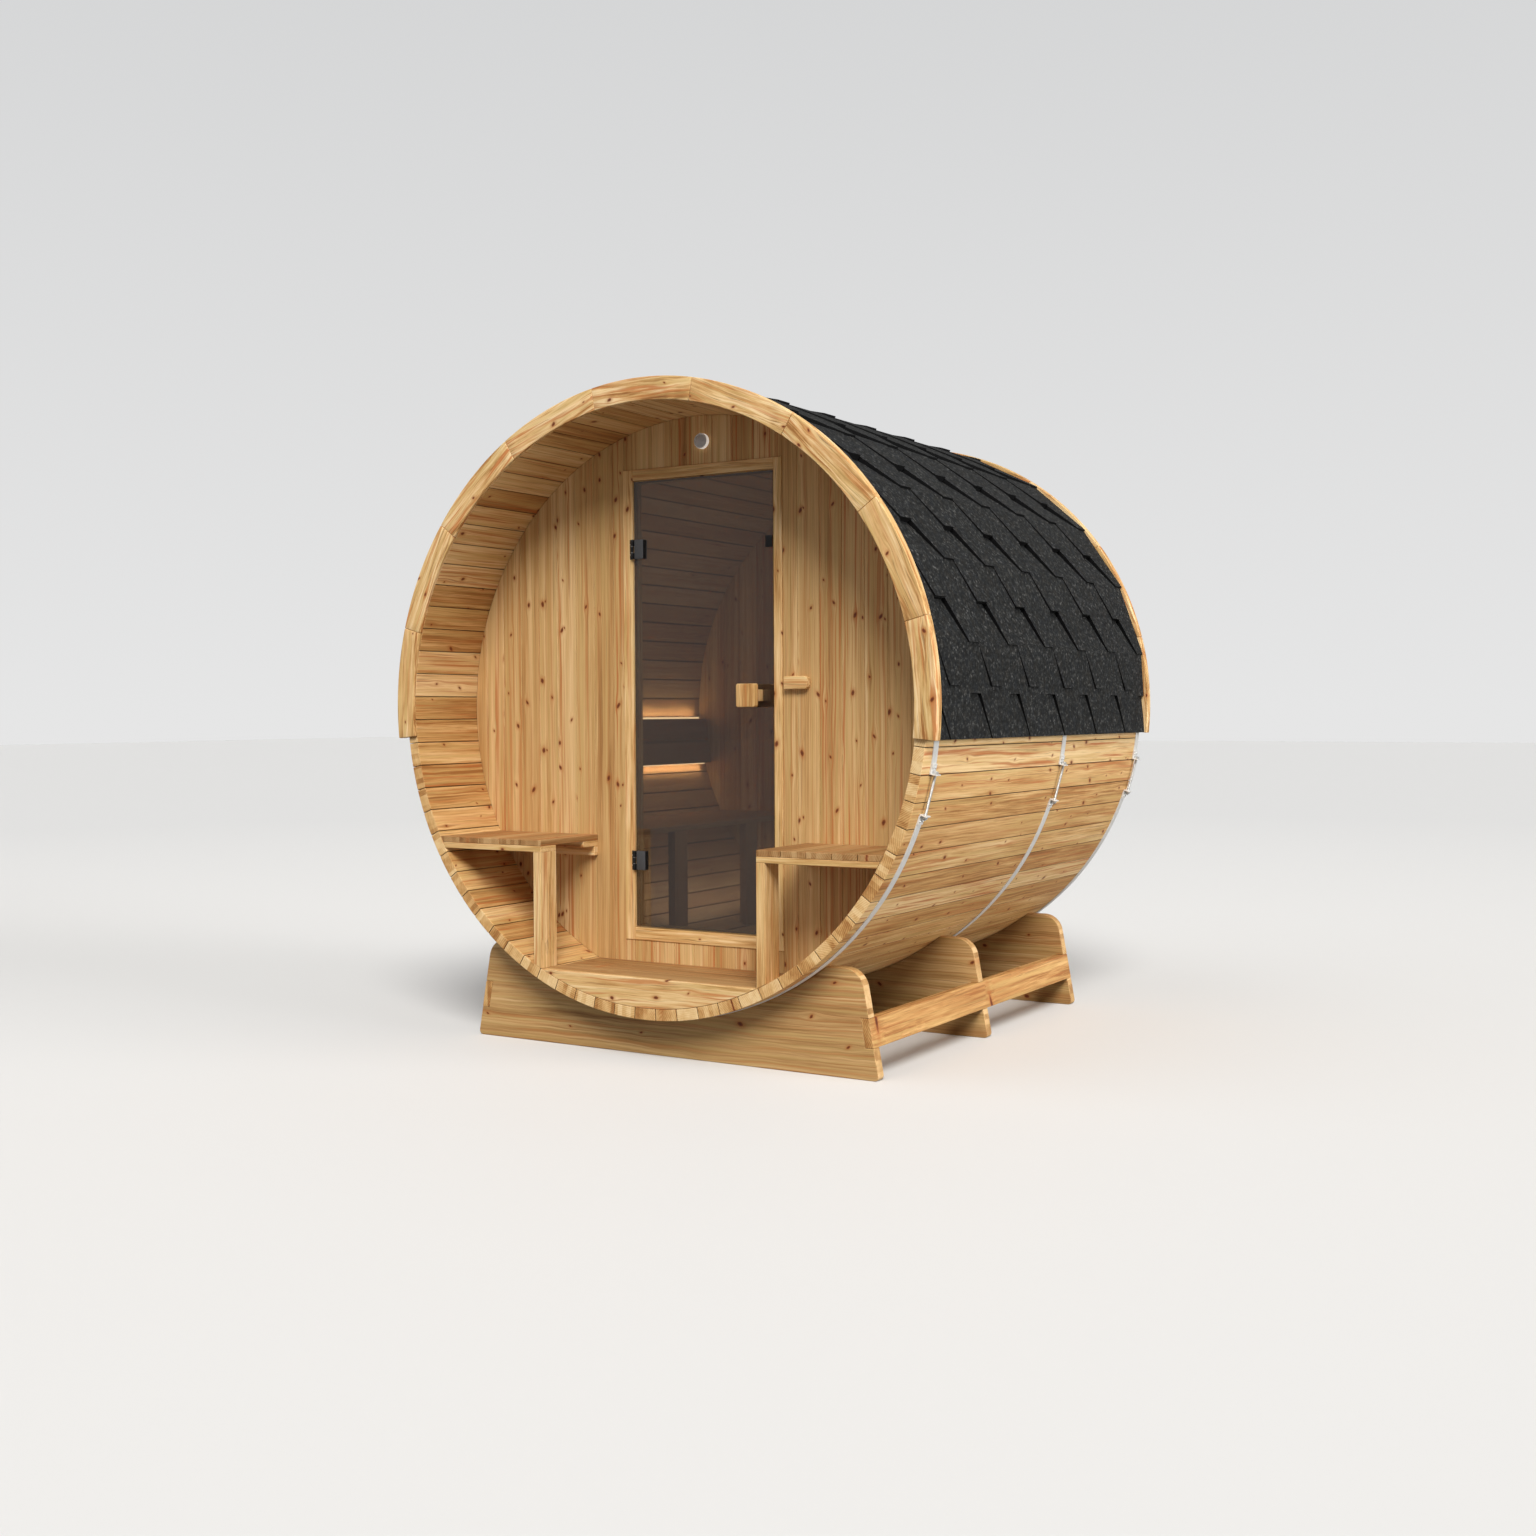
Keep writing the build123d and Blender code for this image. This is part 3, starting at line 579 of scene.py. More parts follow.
# ------------------------------------------------------------------ arch boards
joints = [EAVE, 14.4, 35.8, 57.2, 78.7, 100.3, 121.7, 143.1, 164.5, 180 - EAVE]
for name, prof in (
    ("front_arch", [(RI + 0.5, -14.0), (R_TRIM, -14.0), (R_TRIM, 24.0), (R_BAND, 24.0), (R_BAND, 0.0), (RI + 0.5, 0.0)]),
    ("back_arch", [(RI + 0.5, L + 12.0), (R_TRIM, L + 12.0), (R_TRIM, L - 24.0), (R_BAND, L - 24.0), (R_BAND, L), (RI + 0.5, L)]),
):
    p = Piece("vis_" + name)
    for a0, a1 in zip(joints[:-1], joints[1:]):
        h = math.degrees(0.5 / RO)
        a0, a1 = a0 + h, a1 - h
        am = (a0 + a1) / 2
        bm = bmesh.new()
        n = 12
        loops = []
        for i in range(n + 1):
            a = a0 + (a1 - a0) * i / n
            loops.append([bm.verts.new((polar(r, a)[0], y, polar(r, a)[1])) for r, y in prof])
        m = len(prof)
        for A, B in zip(loops[:-1], loops[1:]):
            for k in range(m):
                bm.faces.new((A[k], A[(k + 1) % m], B[(k + 1) % m], B[k]))
        bm.faces.new(loops[0][::-1])
        bm.faces.new(loops[-1])
        ca, sa = math.cos(rad(am)), math.sin(rad(am))
        p.add(bm, bevel=3.0, seg=3,
              grain=lambda q, ca=ca, sa=sa: (-q[0] * sa + q[2] * ca, q[0] * ca + q[2] * sa, q[1]), gdir=(-sa, 0, ca))
    p.make(WOOD_ARCH, replaces=name)

# ------------------------------------------------------------------ end walls
BP, BX0 = 90.0, -383.0    # board pitch and where one joint lies


def arc_edge(xa, xb, sign, r=RI - 0.6, n=6):
    return [(xa + (xb - xa) * i / n, sign * rim(xa + (xb - xa) * i / n, r)) for i in range(n + 1)]


def wall_boards(p, x0, x1, y0, y1, zlo=None, zhi=None):
    """Vertical boards between x0 and x1, cut to the round at open ends."""
    xs = [x0]
    k = math.ceil((x0 - BX0) / BP)
    while BX0 + k * BP < x1 - 1:
        if BX0 + k * BP > x0 + 1:
            xs.append(BX0 + k * BP)
        k += 1
    xs.append(x1)
    for a, b in zip(xs[:-1], xs[1:]):
        a, b = a + 0.3, b - 0.3
        if rim(a, RI - 0.6) < 4 or rim(b, RI - 0.6) < 4:
            if a < 0:
                a = -math.sqrt((RI - 0.6) ** 2 - 30.0 ** 2)
            else:
                b = math.sqrt((RI - 0.6) ** 2 - 30.0 ** 2)
        lo = arc_edge(a, b, -1) if zlo is None else [(a, zlo), (b, zlo)]
        hi = arc_edge(b, a, 1) if zhi is None else [(b, zhi), (a, zhi)]
        p.add(prism(lo + hi, y0, y1), bevel=1.3, seg=1, **grain("z"))


for name, args in (
    ("wall_left", (-RI, FX0, None, None)), ("wall_right", (FX1, RI, None, None)),
    ("wall_over_door", (FX0, FX1, FZ1, None)), ("wall_under_door", (FX0, FX1, None, FZ0)),
):
    p = Piece("vis_" + name)
    wall_boards(p, args[0], args[1], Y_WALL, Y_WALL + T_WALL, args[2], args[3])
    p.make(WOOD_WALL, replaces=name)
p = Piece("vis_back_wall")
wall_boards(p, -RI, RI, Y_BACK, Y_BACK + T_WALL)
p.make(WOOD_WALL, replaces="back_wall")

# ------------------------------------------------------------------ door frame
YF = Y_WALL - 4.0
Y_STOP = Y_WALL + T_GLASS + CLR
for name, xo, xi, xs in (("jamb_left", FX0, DX0, DX0 + STOP), ("jamb_right", FX1, DX1, DX1 - STOP)):
    p = Piece("vis_" + name)
    poly = [(xo, YF), (xi, YF), (xi, Y_STOP), (xs, Y_STOP), (xs, Y_WALL + T_WALL), (xo, Y_WALL + T_WALL)]
    p.add(prism(poly, FZ0, FZ1, "xy"), bevel=2.0, seg=2, **grain("z"))
    p.make(WOOD_TRIM, replaces=name)
for name, zo, zi, zs in (("door_head", FZ1, DZ1, DZ1 - STOP), ("door_sill", FZ0, DZ0, DZ0 + STOP)):
    p = Piece("vis_" + name)
    p.add(box(DX0 + 0.3, DX1 - 0.3, YF, Y_STOP, min(zo, zi), max(zo, zi)), bevel=2.0, seg=2, **grain("x"))
    p.add(box(DX0 + STOP, DX1 - STOP, Y_STOP, Y_WALL + T_WALL, min(zo, zs), max(zo, zs)), bevel=2.0, seg=2, **grain("x"))
    p.make(WOOD_TRIM, replaces=name)

# ------------------------------------------------------------------ porch
def chord(z0, z1, x0=None, x1=None, n=6):
    """Outline between two heights inside the round, or from x0 outwards."""
    r = RI - 0.6
    right = [(rim(z0 + (z1 - z0) * i / n, r), z0 + (z1 - z0) * i / n) for i in range(n + 1)]
    if x0 is None:
        return [(-q[0], q[1]) for q in reversed(right)] + right
    return [(x0, z1), (x0, z0)] + right


p = Piece("vis_porch_fascia")
zs = [-RI + 0.6 + (Z_FLOOR + RI - 0.6) * (i / 14.0) ** 2 for i in range(15)]
right = [(rim(z, RI - 0.6), z) for z in zs]
p.add(prism([(-x, z) for x, z in reversed(right[1:])] + right, 0.0, 28.0), bevel=2.0, seg=2, **grain("x"))
p.make(WOOD_TRIM, replaces="porch_fascia")

p = Piece("vis_porch_floor")
bw = (Y_WALL - 28.0 - 4.0) / 3
for k in range(3):
    y0 = 28.0 + k * (bw + 2.0)
    p.add(prism(chord(Z_FLOOR - 28.0, Z_FLOOR), y0, y0 + bw), bevel=2.0, seg=2, **grain("x"))
p.make(WOOD_SEAT_SHADED, replaces="porch_floor")


def slats():
    w = (rim(Z_SEAT - T_SLAT) + 12.0 - X_SEAT - 4 * 3.0) / 5
    for k in range(5):
        x0 = X_SEAT + k * (w + 3.0)
        yield k, x0, x0 + w


def mirror(pts, s):
    return pts if s > 0 else [(-x, z) for x, z in pts]


for name, s, ya, yb, mat, sl in (
    ("porch_seat_left", -1, 0.0, Y_WALL, WOOD_SEAT_SHADED, "wood_trim"),
    ("porch_seat_right", 1, 0.0, Y_WALL, WOOD_SEAT_SHADED, "wood_trim"),
    ("cabin_seat", -1, Y_WALL + T_WALL, Y_BACK, WOOD_INNER, "wood_wall"),
):
    p = Piece("vis_" + name)
    for k, x0, x1 in slats():
        if k < 4:
            pts = [(x0, Z_SEAT - T_SLAT), (x1, Z_SEAT - T_SLAT), (x1, Z_SEAT), (x0, Z_SEAT)]
        else:
            r = RI - 0.6
            pts = [(x0, Z_SEAT), (x0, Z_SEAT - T_SLAT), (rim(Z_SEAT - T_SLAT, r), Z_SEAT - T_SLAT), (rim(Z_SEAT, r), Z_SEAT)]
        p.add(prism(mirror(pts, s), ya + 0.4, yb - 0.4), bevel=1.8, seg=2, **grain("y"))
    p.make(mat, replaces=name)

p = Piece("vis_porch_seat_rails")
for s in (-1, 1):
    for ya in (0.0, Y_WALL - 92.0):
        p.add(prism(mirror(chord(Z_RAIL, Z_RAIL + T_SLAT - 0.4, X_SEAT, n=2), s), ya, ya + 91.6), bevel=1.8, seg=2, **grain("x"))
p.make(WOOD_TRIM, replaces="porch_seat_rails")

p = Piece("vis_porch_ledgers")
for s in (-1, 1):
    p.add(prism(mirror(chord(Z_RAIL - 36.0, Z_RAIL - 0.4, X_SEAT, n=2), s), Y_WALL - 24.0, Y_WALL - 0.4), bevel=1.5, seg=2, **grain("x"))
p.make(WOOD_TRIM, replaces="porch_ledgers")


def post(x0, ya, yb, ztop, s):
    r = RI - 0.6
    pts = [(x0 + 35.0 * i / 3, -rim(x0 + 35.0 * i / 3, r)) for i in range(4)] + [(x0 + 35.0, ztop), (x0, ztop)]
    return prism(mirror(pts, s), ya, yb)


p = Piece("vis_porch_posts")
for s in (-1, 1):
    p.add(post(X_SEAT, 0.0, 92.0, Z_RAIL - 0.4, s), bevel=1.8, seg=2, **grain("z"))
p.make(WOOD_TRIM, replaces="porch_posts")
p = Piece("vis_cabin_seat_legs")
for ya in (873.0, 1425.0):
    p.add(post(X_SEAT, ya, ya + 92.0, Z_SEAT - T_SLAT - 0.4, -1), bevel=1.8, seg=2, **grain("z"))
p.make(WOOD_INNER, replaces="cabin_seat_legs")

p = Piece("vis_cabin_backrest")
for pts in ([(-1020, -52), (-1008, -152), (-1026, -152), (-1038, -52)], [(-1007, -162), (-995, -262), (-1013, -262), (-1025, -162)]):
    p.add(prism(pts, 400.0, 1957.0), bevel=3.0, seg=2, **grain("y"))
p.add(prism([(-1027, -140), (-1022, -180), (-1032, -180), (-1037, -140)], 401.0, 1956.0), bevel=0.8, seg=1, **grain("y"))
for ya in (480.0, 1160.0, 1840.0):
    r = RI - 0.8
    outer = [(-rim(-70 - 175.0 * i / 4, r), -70 - 175.0 * i / 4) for i in range(5)]
    p.add(prism([(-1015.0, -245.0), (-1034.5, -75.0)] + outer, ya, ya + 40.0), bevel=1.0, seg=1, **grain("z"))
p.make(WOOD_INNER, replaces="cabin_backrest")

# ------------------------------------------------------------------ cradles
Z_EAR, X_EAR, X_FOOT = -885.0, 802.0, 871.0
SLOPE = (X_FOOT - X_EAR) / (ZA + Z_EAR)


def side_x(z):
    return X_EAR + (Z_EAR - z) * SLOPE


def round_corner(a, b, c, r, n):
    """Points of a fillet of radius r at corner b between a and c."""
    a, b, c = Vector(a), Vector(b), Vector(c)
    d1, d2 = (a - b).normalized(), (c - b).normalized()
    ang = d1.angle(d2)
    cut = r / math.tan(ang / 2)
    ctr = b + (d1 + d2).normalized() * (r / math.sin(ang / 2))
    s, t = b + d1 * cut, b + d2 * cut
    a0 = math.atan2(s.y - ctr.y, s.x - ctr.x)
    a1 = math.atan2(t.y - ctr.y, t.x - ctr.x)
    while a1 - a0 > math.pi:
        a1 -= 2 * math.pi
    while a1 - a0 < -math.pi:
        a1 += 2 * math.pi
    return [(ctr.x + r * math.cos(a0 + (a1 - a0) * i / n), ctr.y + r * math.sin(a0 + (a1 - a0) * i / n)) for i in range(n + 1)]


def cradle_outline():
    R = RO + 0.5
    half = [(0.0, -ZA)]
    half += round_corner((0, -ZA), (X_FOOT, -ZA), (X_EAR, Z_EAR), 16.0, 5)
    half += [(side_x(-1150.0), -1150.0), (side_x(-1150.0) - 32.0, -1150.0), (side_x(-1050.0) - 32.0, -1050.0), (side_x(-1050.0), -1050.0)]
    half += round_corner((X_FOOT, -ZA), (X_EAR, Z_EAR), (0, Z_EAR), 78.0, 12)
    xi = rim(Z_EAR, R)
    a0 = math.degrees(math.atan2(Z_EAR, xi))
    half += [polar(R, a0 + (-90 - a0) * i / 20) for i in range(21)]
    return half[:-1], half[-1]


half, low = cradle_outline()
outline = half[1:] + [low] + [(-x, z) for x, z in reversed(half[1:])]
for name, yc in (("cradle_front", 119.0), ("cradle_middle", 1005.0), ("cradle_back", 1865.0)):
    p = Piece("vis_" + name)
    p.add(prism(outline, yc, yc + 42.0), bevel=3.2, seg=3, **grain("x"))
    p.make(WOOD_PLANK, replaces=name)

p = Piece("vis_base_rails")
for s in (-1, 1):
    pts = [(side_x(-1050.0), -1050.4), (side_x(-1150.0), -1149.6), (side_x(-1150.0) - 31.6, -1149.6), (side_x(-1050.0) - 31.6, -1050.4)]
    p.add(prism(mirror(pts, s), 119.0, 1907.0), bevel=2.2, seg=2, **grain("y"))
p.make(WOOD_STAVE, replaces="base_rails")

# ------------------------------------------------------------------ shingles
STEP, TH0 = 7.4, 3.2
PER, FLAT = 330.0, 83.0
Y_S0, Y_S1 = 24.6, 2001.4
# Outer and inner radius of a row at its own level, one level up and two up.
# The strips lie flat between their fixings: the odd rows stand out at their
# lower edges, run straight under the next odd row and bridge the even ones, so
# the cuts between odd tabs open into dark wedges.
ROWS = {
    0: ((1140.4, 1142.2, 1118.0), (1134.2, 1137.6, 1117.1)),
    1: ((1148.0, None, 1139.2), (1139.6, None, 1135.5)),
    2: ((1145.4, 1133.6, 1138.6), (1141.6, 1120.0, 1117.2)),
}


def straight(r1, r2, span, th):
    """Radius at th degrees on the straight line that joins radius r1 at 0
    degrees to radius r2 at span degrees."""
    return r1 * r2 * math.sin(rad(span)) / (r1 * math.sin(rad(th)) + r2 * math.sin(rad(span - th)))


def row_radii(kind, s):
    """Outer and inner radius s levels above a row's own level."""
    out = []
    s = max(s, 0.0)
    for tab in ROWS[kind]:
        if tab[1] is None:
            out.append(straight(tab[0], tab[2], 2 * STEP, min(s, 2.06) * STEP))
        else:
            i = min(int(s), 1)
            out.append(straight(tab[i], tab[i + 1], STEP, min(s - i, 1.26) * STEP))
    if kind == 1:
        # the strip's cut sides reach down to the row below
        out[1] = 1139.6 - 22.0 * math.sin(math.pi / 2 * s) if s < 1.0 else 1117.6 + 17.5 * (s - 1.0)
    return tuple(out)


def level(j):
    return TH0 + STEP * j


def flats(j):
    """Where the flats of a level are centred, as one of their places."""
    return 155.0 if j % 2 == 0 else 320.0


def course(piece, j, side, shift=None, top=None, bottom=None, kind=None):
    """One row of shingles with a trapezoid lower edge, lying in laps."""
    th_b = level(j) if bottom is None else bottom
    th_n = level(j + 1) if top is None else top
    th_t = min(th_n + STEP + (1.6 if kind == 2 else 0.2), 90.0)
    cy = flats(j) if shift is None else shift
    kind = j % 2 if kind is None else kind
    # corners of the lower edge along y: (y, 0 = tab bottom, 1 = notch top, tab number)
    corners = []
    k = -1
    while cy + k * PER - PER < Y_S1:
        c = cy + k * PER
        jig = rng.uniform(-2.5, 2.5)
        corners += [(c - FLAT / 2 + jig, 0.0, k), (c + FLAT / 2 + jig, 0.0, k),
                    (c + PER / 2 - FLAT / 2, 1.0, k), (c + PER / 2 + FLAT / 2, 1.0, k + 1)]
        k += 1
    cols = []
    for (ya, fa_, ka), (yb, fb_, kb) in zip(corners[:-1], corners[1:]):
        n = 3 if fa_ != fb_ else 2
        for i in range(n):
            q = i / n
            cols.append((ya + (yb - ya) * q, fa_ + (fb_ - fa_) * q, ka if q < 0.5 else kb))
    cols.append(corners[-1])
    # cut to the roof's length
    cut = []
    for a, b in zip(cols[:-1], cols[1:]):
        for yl in (Y_S0, Y_S1):
            if a[0] < yl < b[0]:
                q = (yl - a[0]) / (b[0] - a[0])
                cut.append((yl, a[1] + (b[1] - a[1]) * q, a[2]))
    cols = sorted([c for c in cols if Y_S0 < c[0] < Y_S1] + cut)
    lifts = {}
    for c in cols:
        if c[2] not in lifts:
            lifts[c[2]] = (rng.uniform(-0.3, 0.9), rng.uniform(-0.12, 0.12))
    rows_lo, rows_hi = 4, 4
    bm = bmesh.new()
    top_v, bot_v = [], []
    for y, fr, k in cols:
        dl, dt = lifts[k]
        lo = th_b + dt * (1 - fr) + (th_n + 0.05 - th_b) * fr
        lo = min(lo, th_n + 0.05)
        ths = [lo + (th_n + 0.1 - lo) * i / rows_lo for i in range(rows_lo)]
        ths += [th_n + 0.1 + (th_t - th_n - 0.1) * i / rows_hi for i in range(rows_hi + 1)]
        ct, cb = [], []
        for th in ths:
            s = (th - th_b) / (th_n - th_b) if th < th_n else 1.0 + (th - th_n) / STEP
            r_out, r_in = row_radii(kind, s)
            r_out += dl * max(1.0 - s, 0.0)
            a = th if side > 0 else 180.0 - th
            x, z = polar(r_out, a)
            ct.append(bm.verts.new((x, y, z)))
            x, z = polar(r_in, a)
            cb.append(bm.verts.new((x, y, z)))
        top_v.append(ct)
        bot_v.append(cb)
    nc, nr = len(cols), rows_lo + rows_hi + 1
    cut_faces = []
    for i in range(nc - 1):
        for m in range(nr - 1):
            bm.faces.new((top_v[i][m], top_v[i + 1][m], top_v[i + 1][m + 1], top_v[i][m + 1]))
            cut_faces.append(bm.faces.new((bot_v[i][m], bot_v[i][m + 1], bot_v[i + 1][m + 1], bot_v[i + 1][m])))
        cut_faces.append(bm.faces.new((top_v[i][0], bot_v[i][0], bot_v[i + 1][0], top_v[i + 1][0])))
        cut_faces.append(bm.faces.new((top_v[i][-1], top_v[i + 1][-1], bot_v[i + 1][-1], bot_v[i][-1])))
    for i in (0, nc - 1):
        for m in range(nr - 1):
            cut_faces.append(bm.faces.new((top_v[i][m], top_v[i][m + 1], bot_v[i][m + 1], bot_v[i][m])))
    for f in cut_faces:
        f.material_index = 1
    bmesh.ops.remove_doubles(bm, verts=bm.verts[:], dist=0.05)
    bmesh.ops.dissolve_degenerate(bm, edges=bm.edges[:], dist=0.01)
    piece.add(bm, bevel=0.0, grain=lambda q: (q[1], q[0], q[2]))


for name, side in (("roof_right", 1), ("roof_left", -1)):
    p = Piece("vis_" + name)
    # underlay shell that the rows lie on, closed at the eave
    n = 56
    a0, a1 = EAVE, 90.0
    arc = [a0 + (a1 - a0) * i / n for i in range(n + 1)]
    arc = arc if side > 0 else [180 - a for a in arc]
    poly = [polar(1117.0, a) for a in arc] + [polar(R_BAND + 0.4, a) for a in reversed(arc)]
    p.add(prism(poly, 24.2, 2001.8), bevel=0.0, grain=lambda q: (q[1], q[0], q[2]), slot=1)
    # a plain strip along the eave, then the first row with its tabs on it
    strip = [(EAVE + 0.1, 1141.4), (-2.8, 1133.4), (0.2, 1125.6), (3.2, 1120.0), (5.0, 1118.2)]
    poly = [polar(r, a if side > 0 else 180 - a) for a, r in strip]
    poly += [polar(1117.1, a if side > 0 else 180 - a) for a, r in reversed(strip)]
    p.add(prism(poly, Y_S0 + 0.3, Y_S1 - 0.3), bevel=0.0, grain=lambda q: (q[1], q[0], q[2]))
    course(p, 0, side, shift=155.0, bottom=EAVE + 0.15, top=1.9, kind=2)
    j = 0
    while level(j) < 84.0:
        course(p, j, side)
        j += 1
    # half of the ridge caps belongs to each side, laid from the back forwards
    y = Y_S1
    while y > Y_S0 + 20:
        ya = max(y - 262.0, Y_S0)
        yb = min(y, Y_S1)
        bm = bmesh.new()
        half_w = 7.2
        cols = []
        for i in range(7):
            th = 90.0 - half_w + half_w * i / 6
            th = th if side > 0 else 180 - th
            lo_r, hi_r = 1147.0, 1149.2
            ring = []
            for yy, rr in ((ya, hi_r), (yb, lo_r), (yb, lo_r - 2.0), (ya, hi_r - 2.0)):
                x, z = polar(rr, th)
                ring.append(bm.verts.new((x, yy, z)))
            cols.append(ring)
        for A, B in zip(cols[:-1], cols[1:]):
            for m in range(4):
                f = bm.faces.new((A[m], A[(m + 1) % 4], B[(m + 1) % 4], B[m]))
                f.material_index = 0 if m == 0 else 1
        bm.faces.new(cols[0]).material_index = 1
        bm.faces.new(cols[-1][::-1]).material_index = 1
        p.add(bm, bevel=0.0, grain=lambda q: (q[1], q[0], q[2]), rnd=(0.5 + 0.4 * math.sin(y), 0.5, 0.5))
        y -= 262.0 - 1.0
    p.make(SHINGLE, replaces=name, sharp=6.0)

# ------------------------------------------------------------------ bands
BAND_W = 36.0
bands_at = (76.0, 1186.0, 2004.0)
LUG_UP, LUG_LO = -11.6, -18.7
p = Piece("vis_steel_bands")
for yc in bands_at:
    b0, b1 = LUG_UP + 0.2, 360 + LUG_LO - 0.2
    n = 150
    bm = bmesh.new()
    hw = BAND_W / 2
    prof = [(RO, -hw), (R_BAND - 0.7, -hw), (R_BAND, -hw + 0.7), (R_BAND, hw - 0.7), (R_BAND - 0.7, hw), (RO, hw)]
    loops = []
    for i in range(n + 1):
        a = b0 + (b1 - b0) * i / n
        loops.append([bm.verts.new((polar(r, a)[0], yc + y, polar(r, a)[1])) for r, y in prof])
    for A, B in zip(loops[:-1], loops[1:]):
        for k in range(6):
            bm.faces.new((A[k], A[(k + 1) % 6], B[(k + 1) % 6], B[k]))
    bm.faces.new(loops[0][::-1])
    bm.faces.new(loops[-1])
    p.add(bm, bevel=0.0, grain=lambda q: (math.atan2(q[2], q[0]) * RO, q[1], 0.0))
p.make(STEEL, replaces="steel_bands")

p = Piece("vis_tensioners")
for yc in bands_at:
    for a, up in ((LUG_UP, 1), (LUG_LO, -1)):
        # a strap end folded up into a lug, with a stiffening plate
        ca, sa = math.cos(rad(a)), math.sin(rad(a))
        er, et = Vector((ca, 0, sa)), Vector((-sa, 0, ca))
        prof = [(-2.0, 0.0), (-2.0, 25.0), (2.0, 25.0), (2.0, 6.5), (4.0, 4.5), (34.0, 4.5), (34.0, 0.6), (6.0, 0.0)]
        bm = bmesh.new()
        lo, hi = [], []
        for t_, h_ in prof:
            for lst, yy in ((lo, yc - BAND_W / 2 + 0.5), (hi, yc + BAND_W / 2 - 0.5)):
                q = er * (RO + 0.4 + h_) + et * (t_ * up)
                # follow the barrel under the foot
                if abs(t_) > 8:
                    q = Vector((q.x, 0, q.z)).normalized() * (RO + 3.4 + (h_ - 0.6 if h_ > 1 else -0.2))
                lst.append(bm.verts.new((q.x, yy, q.z)))
        bm.faces.new(lo[::-1])
        bm.faces.new(hi)
        for k in range(len(prof)):
            m = (k + 1) % len(prof)
            bm.faces.new((lo[k], lo[m], hi[m], hi[k]))
        p.add(bm, bevel=0.9, seg=2, grain=lambda q: (q[2], q[1], q[0]))
        for ry in (-10, 10):
            c0 = er * (RO + 7.5) + et * (22 * up)
            c0 = Vector((c0.x, 0, c0.z)).normalized() * (RO + 6.6)
            d = c0.normalized()
            a_, b_ = c0 + Vector((0, yc + ry, 0)), c0 + d * 3.0 + Vector((0, yc + ry, 0))
            p.add(cylinder(a_, b_, 4.2, 12, prof=[(0, 4.2), (0.45, 4.0), (0.85, 2.6), (1, 1.2)]), bevel=0.0, grain=lambda q: tuple(q), slot=1)
    r_rod = RO + 15.0
    p0, p1 = polar(r_rod, LUG_UP + 0.62), polar(r_rod, LUG_LO - 0.8)
    p0, p1 = Vector((p0[0], yc, p0[1])), Vector((p1[0], yc, p1[1]))
    turns = int((p1 - p0).length / 1.5)
    prof = []
    for i in range(turns):
        prof += [((i + 0.0) / turns, 4.4), ((i + 0.5) / turns, 5.0)]
    prof.append((1.0, 4.2))
    p.add(cylinder(p0, p1, 5.0, 14, prof=prof), bevel=0.0, grain=lambda q: tuple(q), slot=1)
    d = (p1 - p0).normalized()
    for at, s_ in ((LUG_UP, 1), (LUG_LO, -1)):
        c = polar(r_rod, at)
        c = Vector((c[0], yc, c[1]))
        if at == LUG_UP:
            a_, b_ = c - d * 10.5, c - d * 2.5
        else:
            a_, b_ = c + d * 2.5, c + d * 10.5
        s0 = d.orthogonal().normalized()
        p.add(cylinder(a_, b_, 9.4, 6), bevel=0.8, seg=1, grain=lambda q: tuple(q), slot=1)
        w0 = c - d * 2.5 if at == LUG_UP else c + d * 0.9
        p.add(cylinder(w0 - d * 0.0, w0 + d * 1.6, 11.0, 20), bevel=0.3, seg=1, grain=lambda q: tuple(q), slot=1)
p.make([STEEL, THREAD], replaces="tensioners")

# ------------------------------------------------------------------ small fittings
p = Piece("vis_porch_light")
c = (28.0, 0.0, 972.0)
p.add(cylinder((28.0, Y_WALL - 0.2, 972.0), (28.0, Y_WALL - 16.0, 972.0), 28.0, 40, prof=[(0, 28.0), (0.94, 28.0), (1.0, 27.6)]),
      bevel=0.0, grain=lambda q: tuple(q), slot=2)
p.add(cylinder((28.0, Y_WALL - 12.0, 972.0), (28.0, Y_WALL - 20.0, 972.0), 28.0, 40,
               prof=[(0, 27.4), (0.5, 27.4), (0.70, 26.6), (0.80, 25.0), (0.78, 23.8), (0.50, 23.3)]),
      bevel=0.0, grain=lambda q: tuple(q), slot=0)
p.add(cylinder((28.0, Y_WALL - 15.6, 972.0), (28.0, Y_WALL - 19.4, 972.0), 23.2, 36,
               prof=[(0, 23.1), (0.15, 23.1), (0.45, 20.0), (0.75, 13.0), (0.92, 6.5), (1.0, 0.8)]),
      bevel=0.0, grain=lambda q: tuple(q), slot=1)


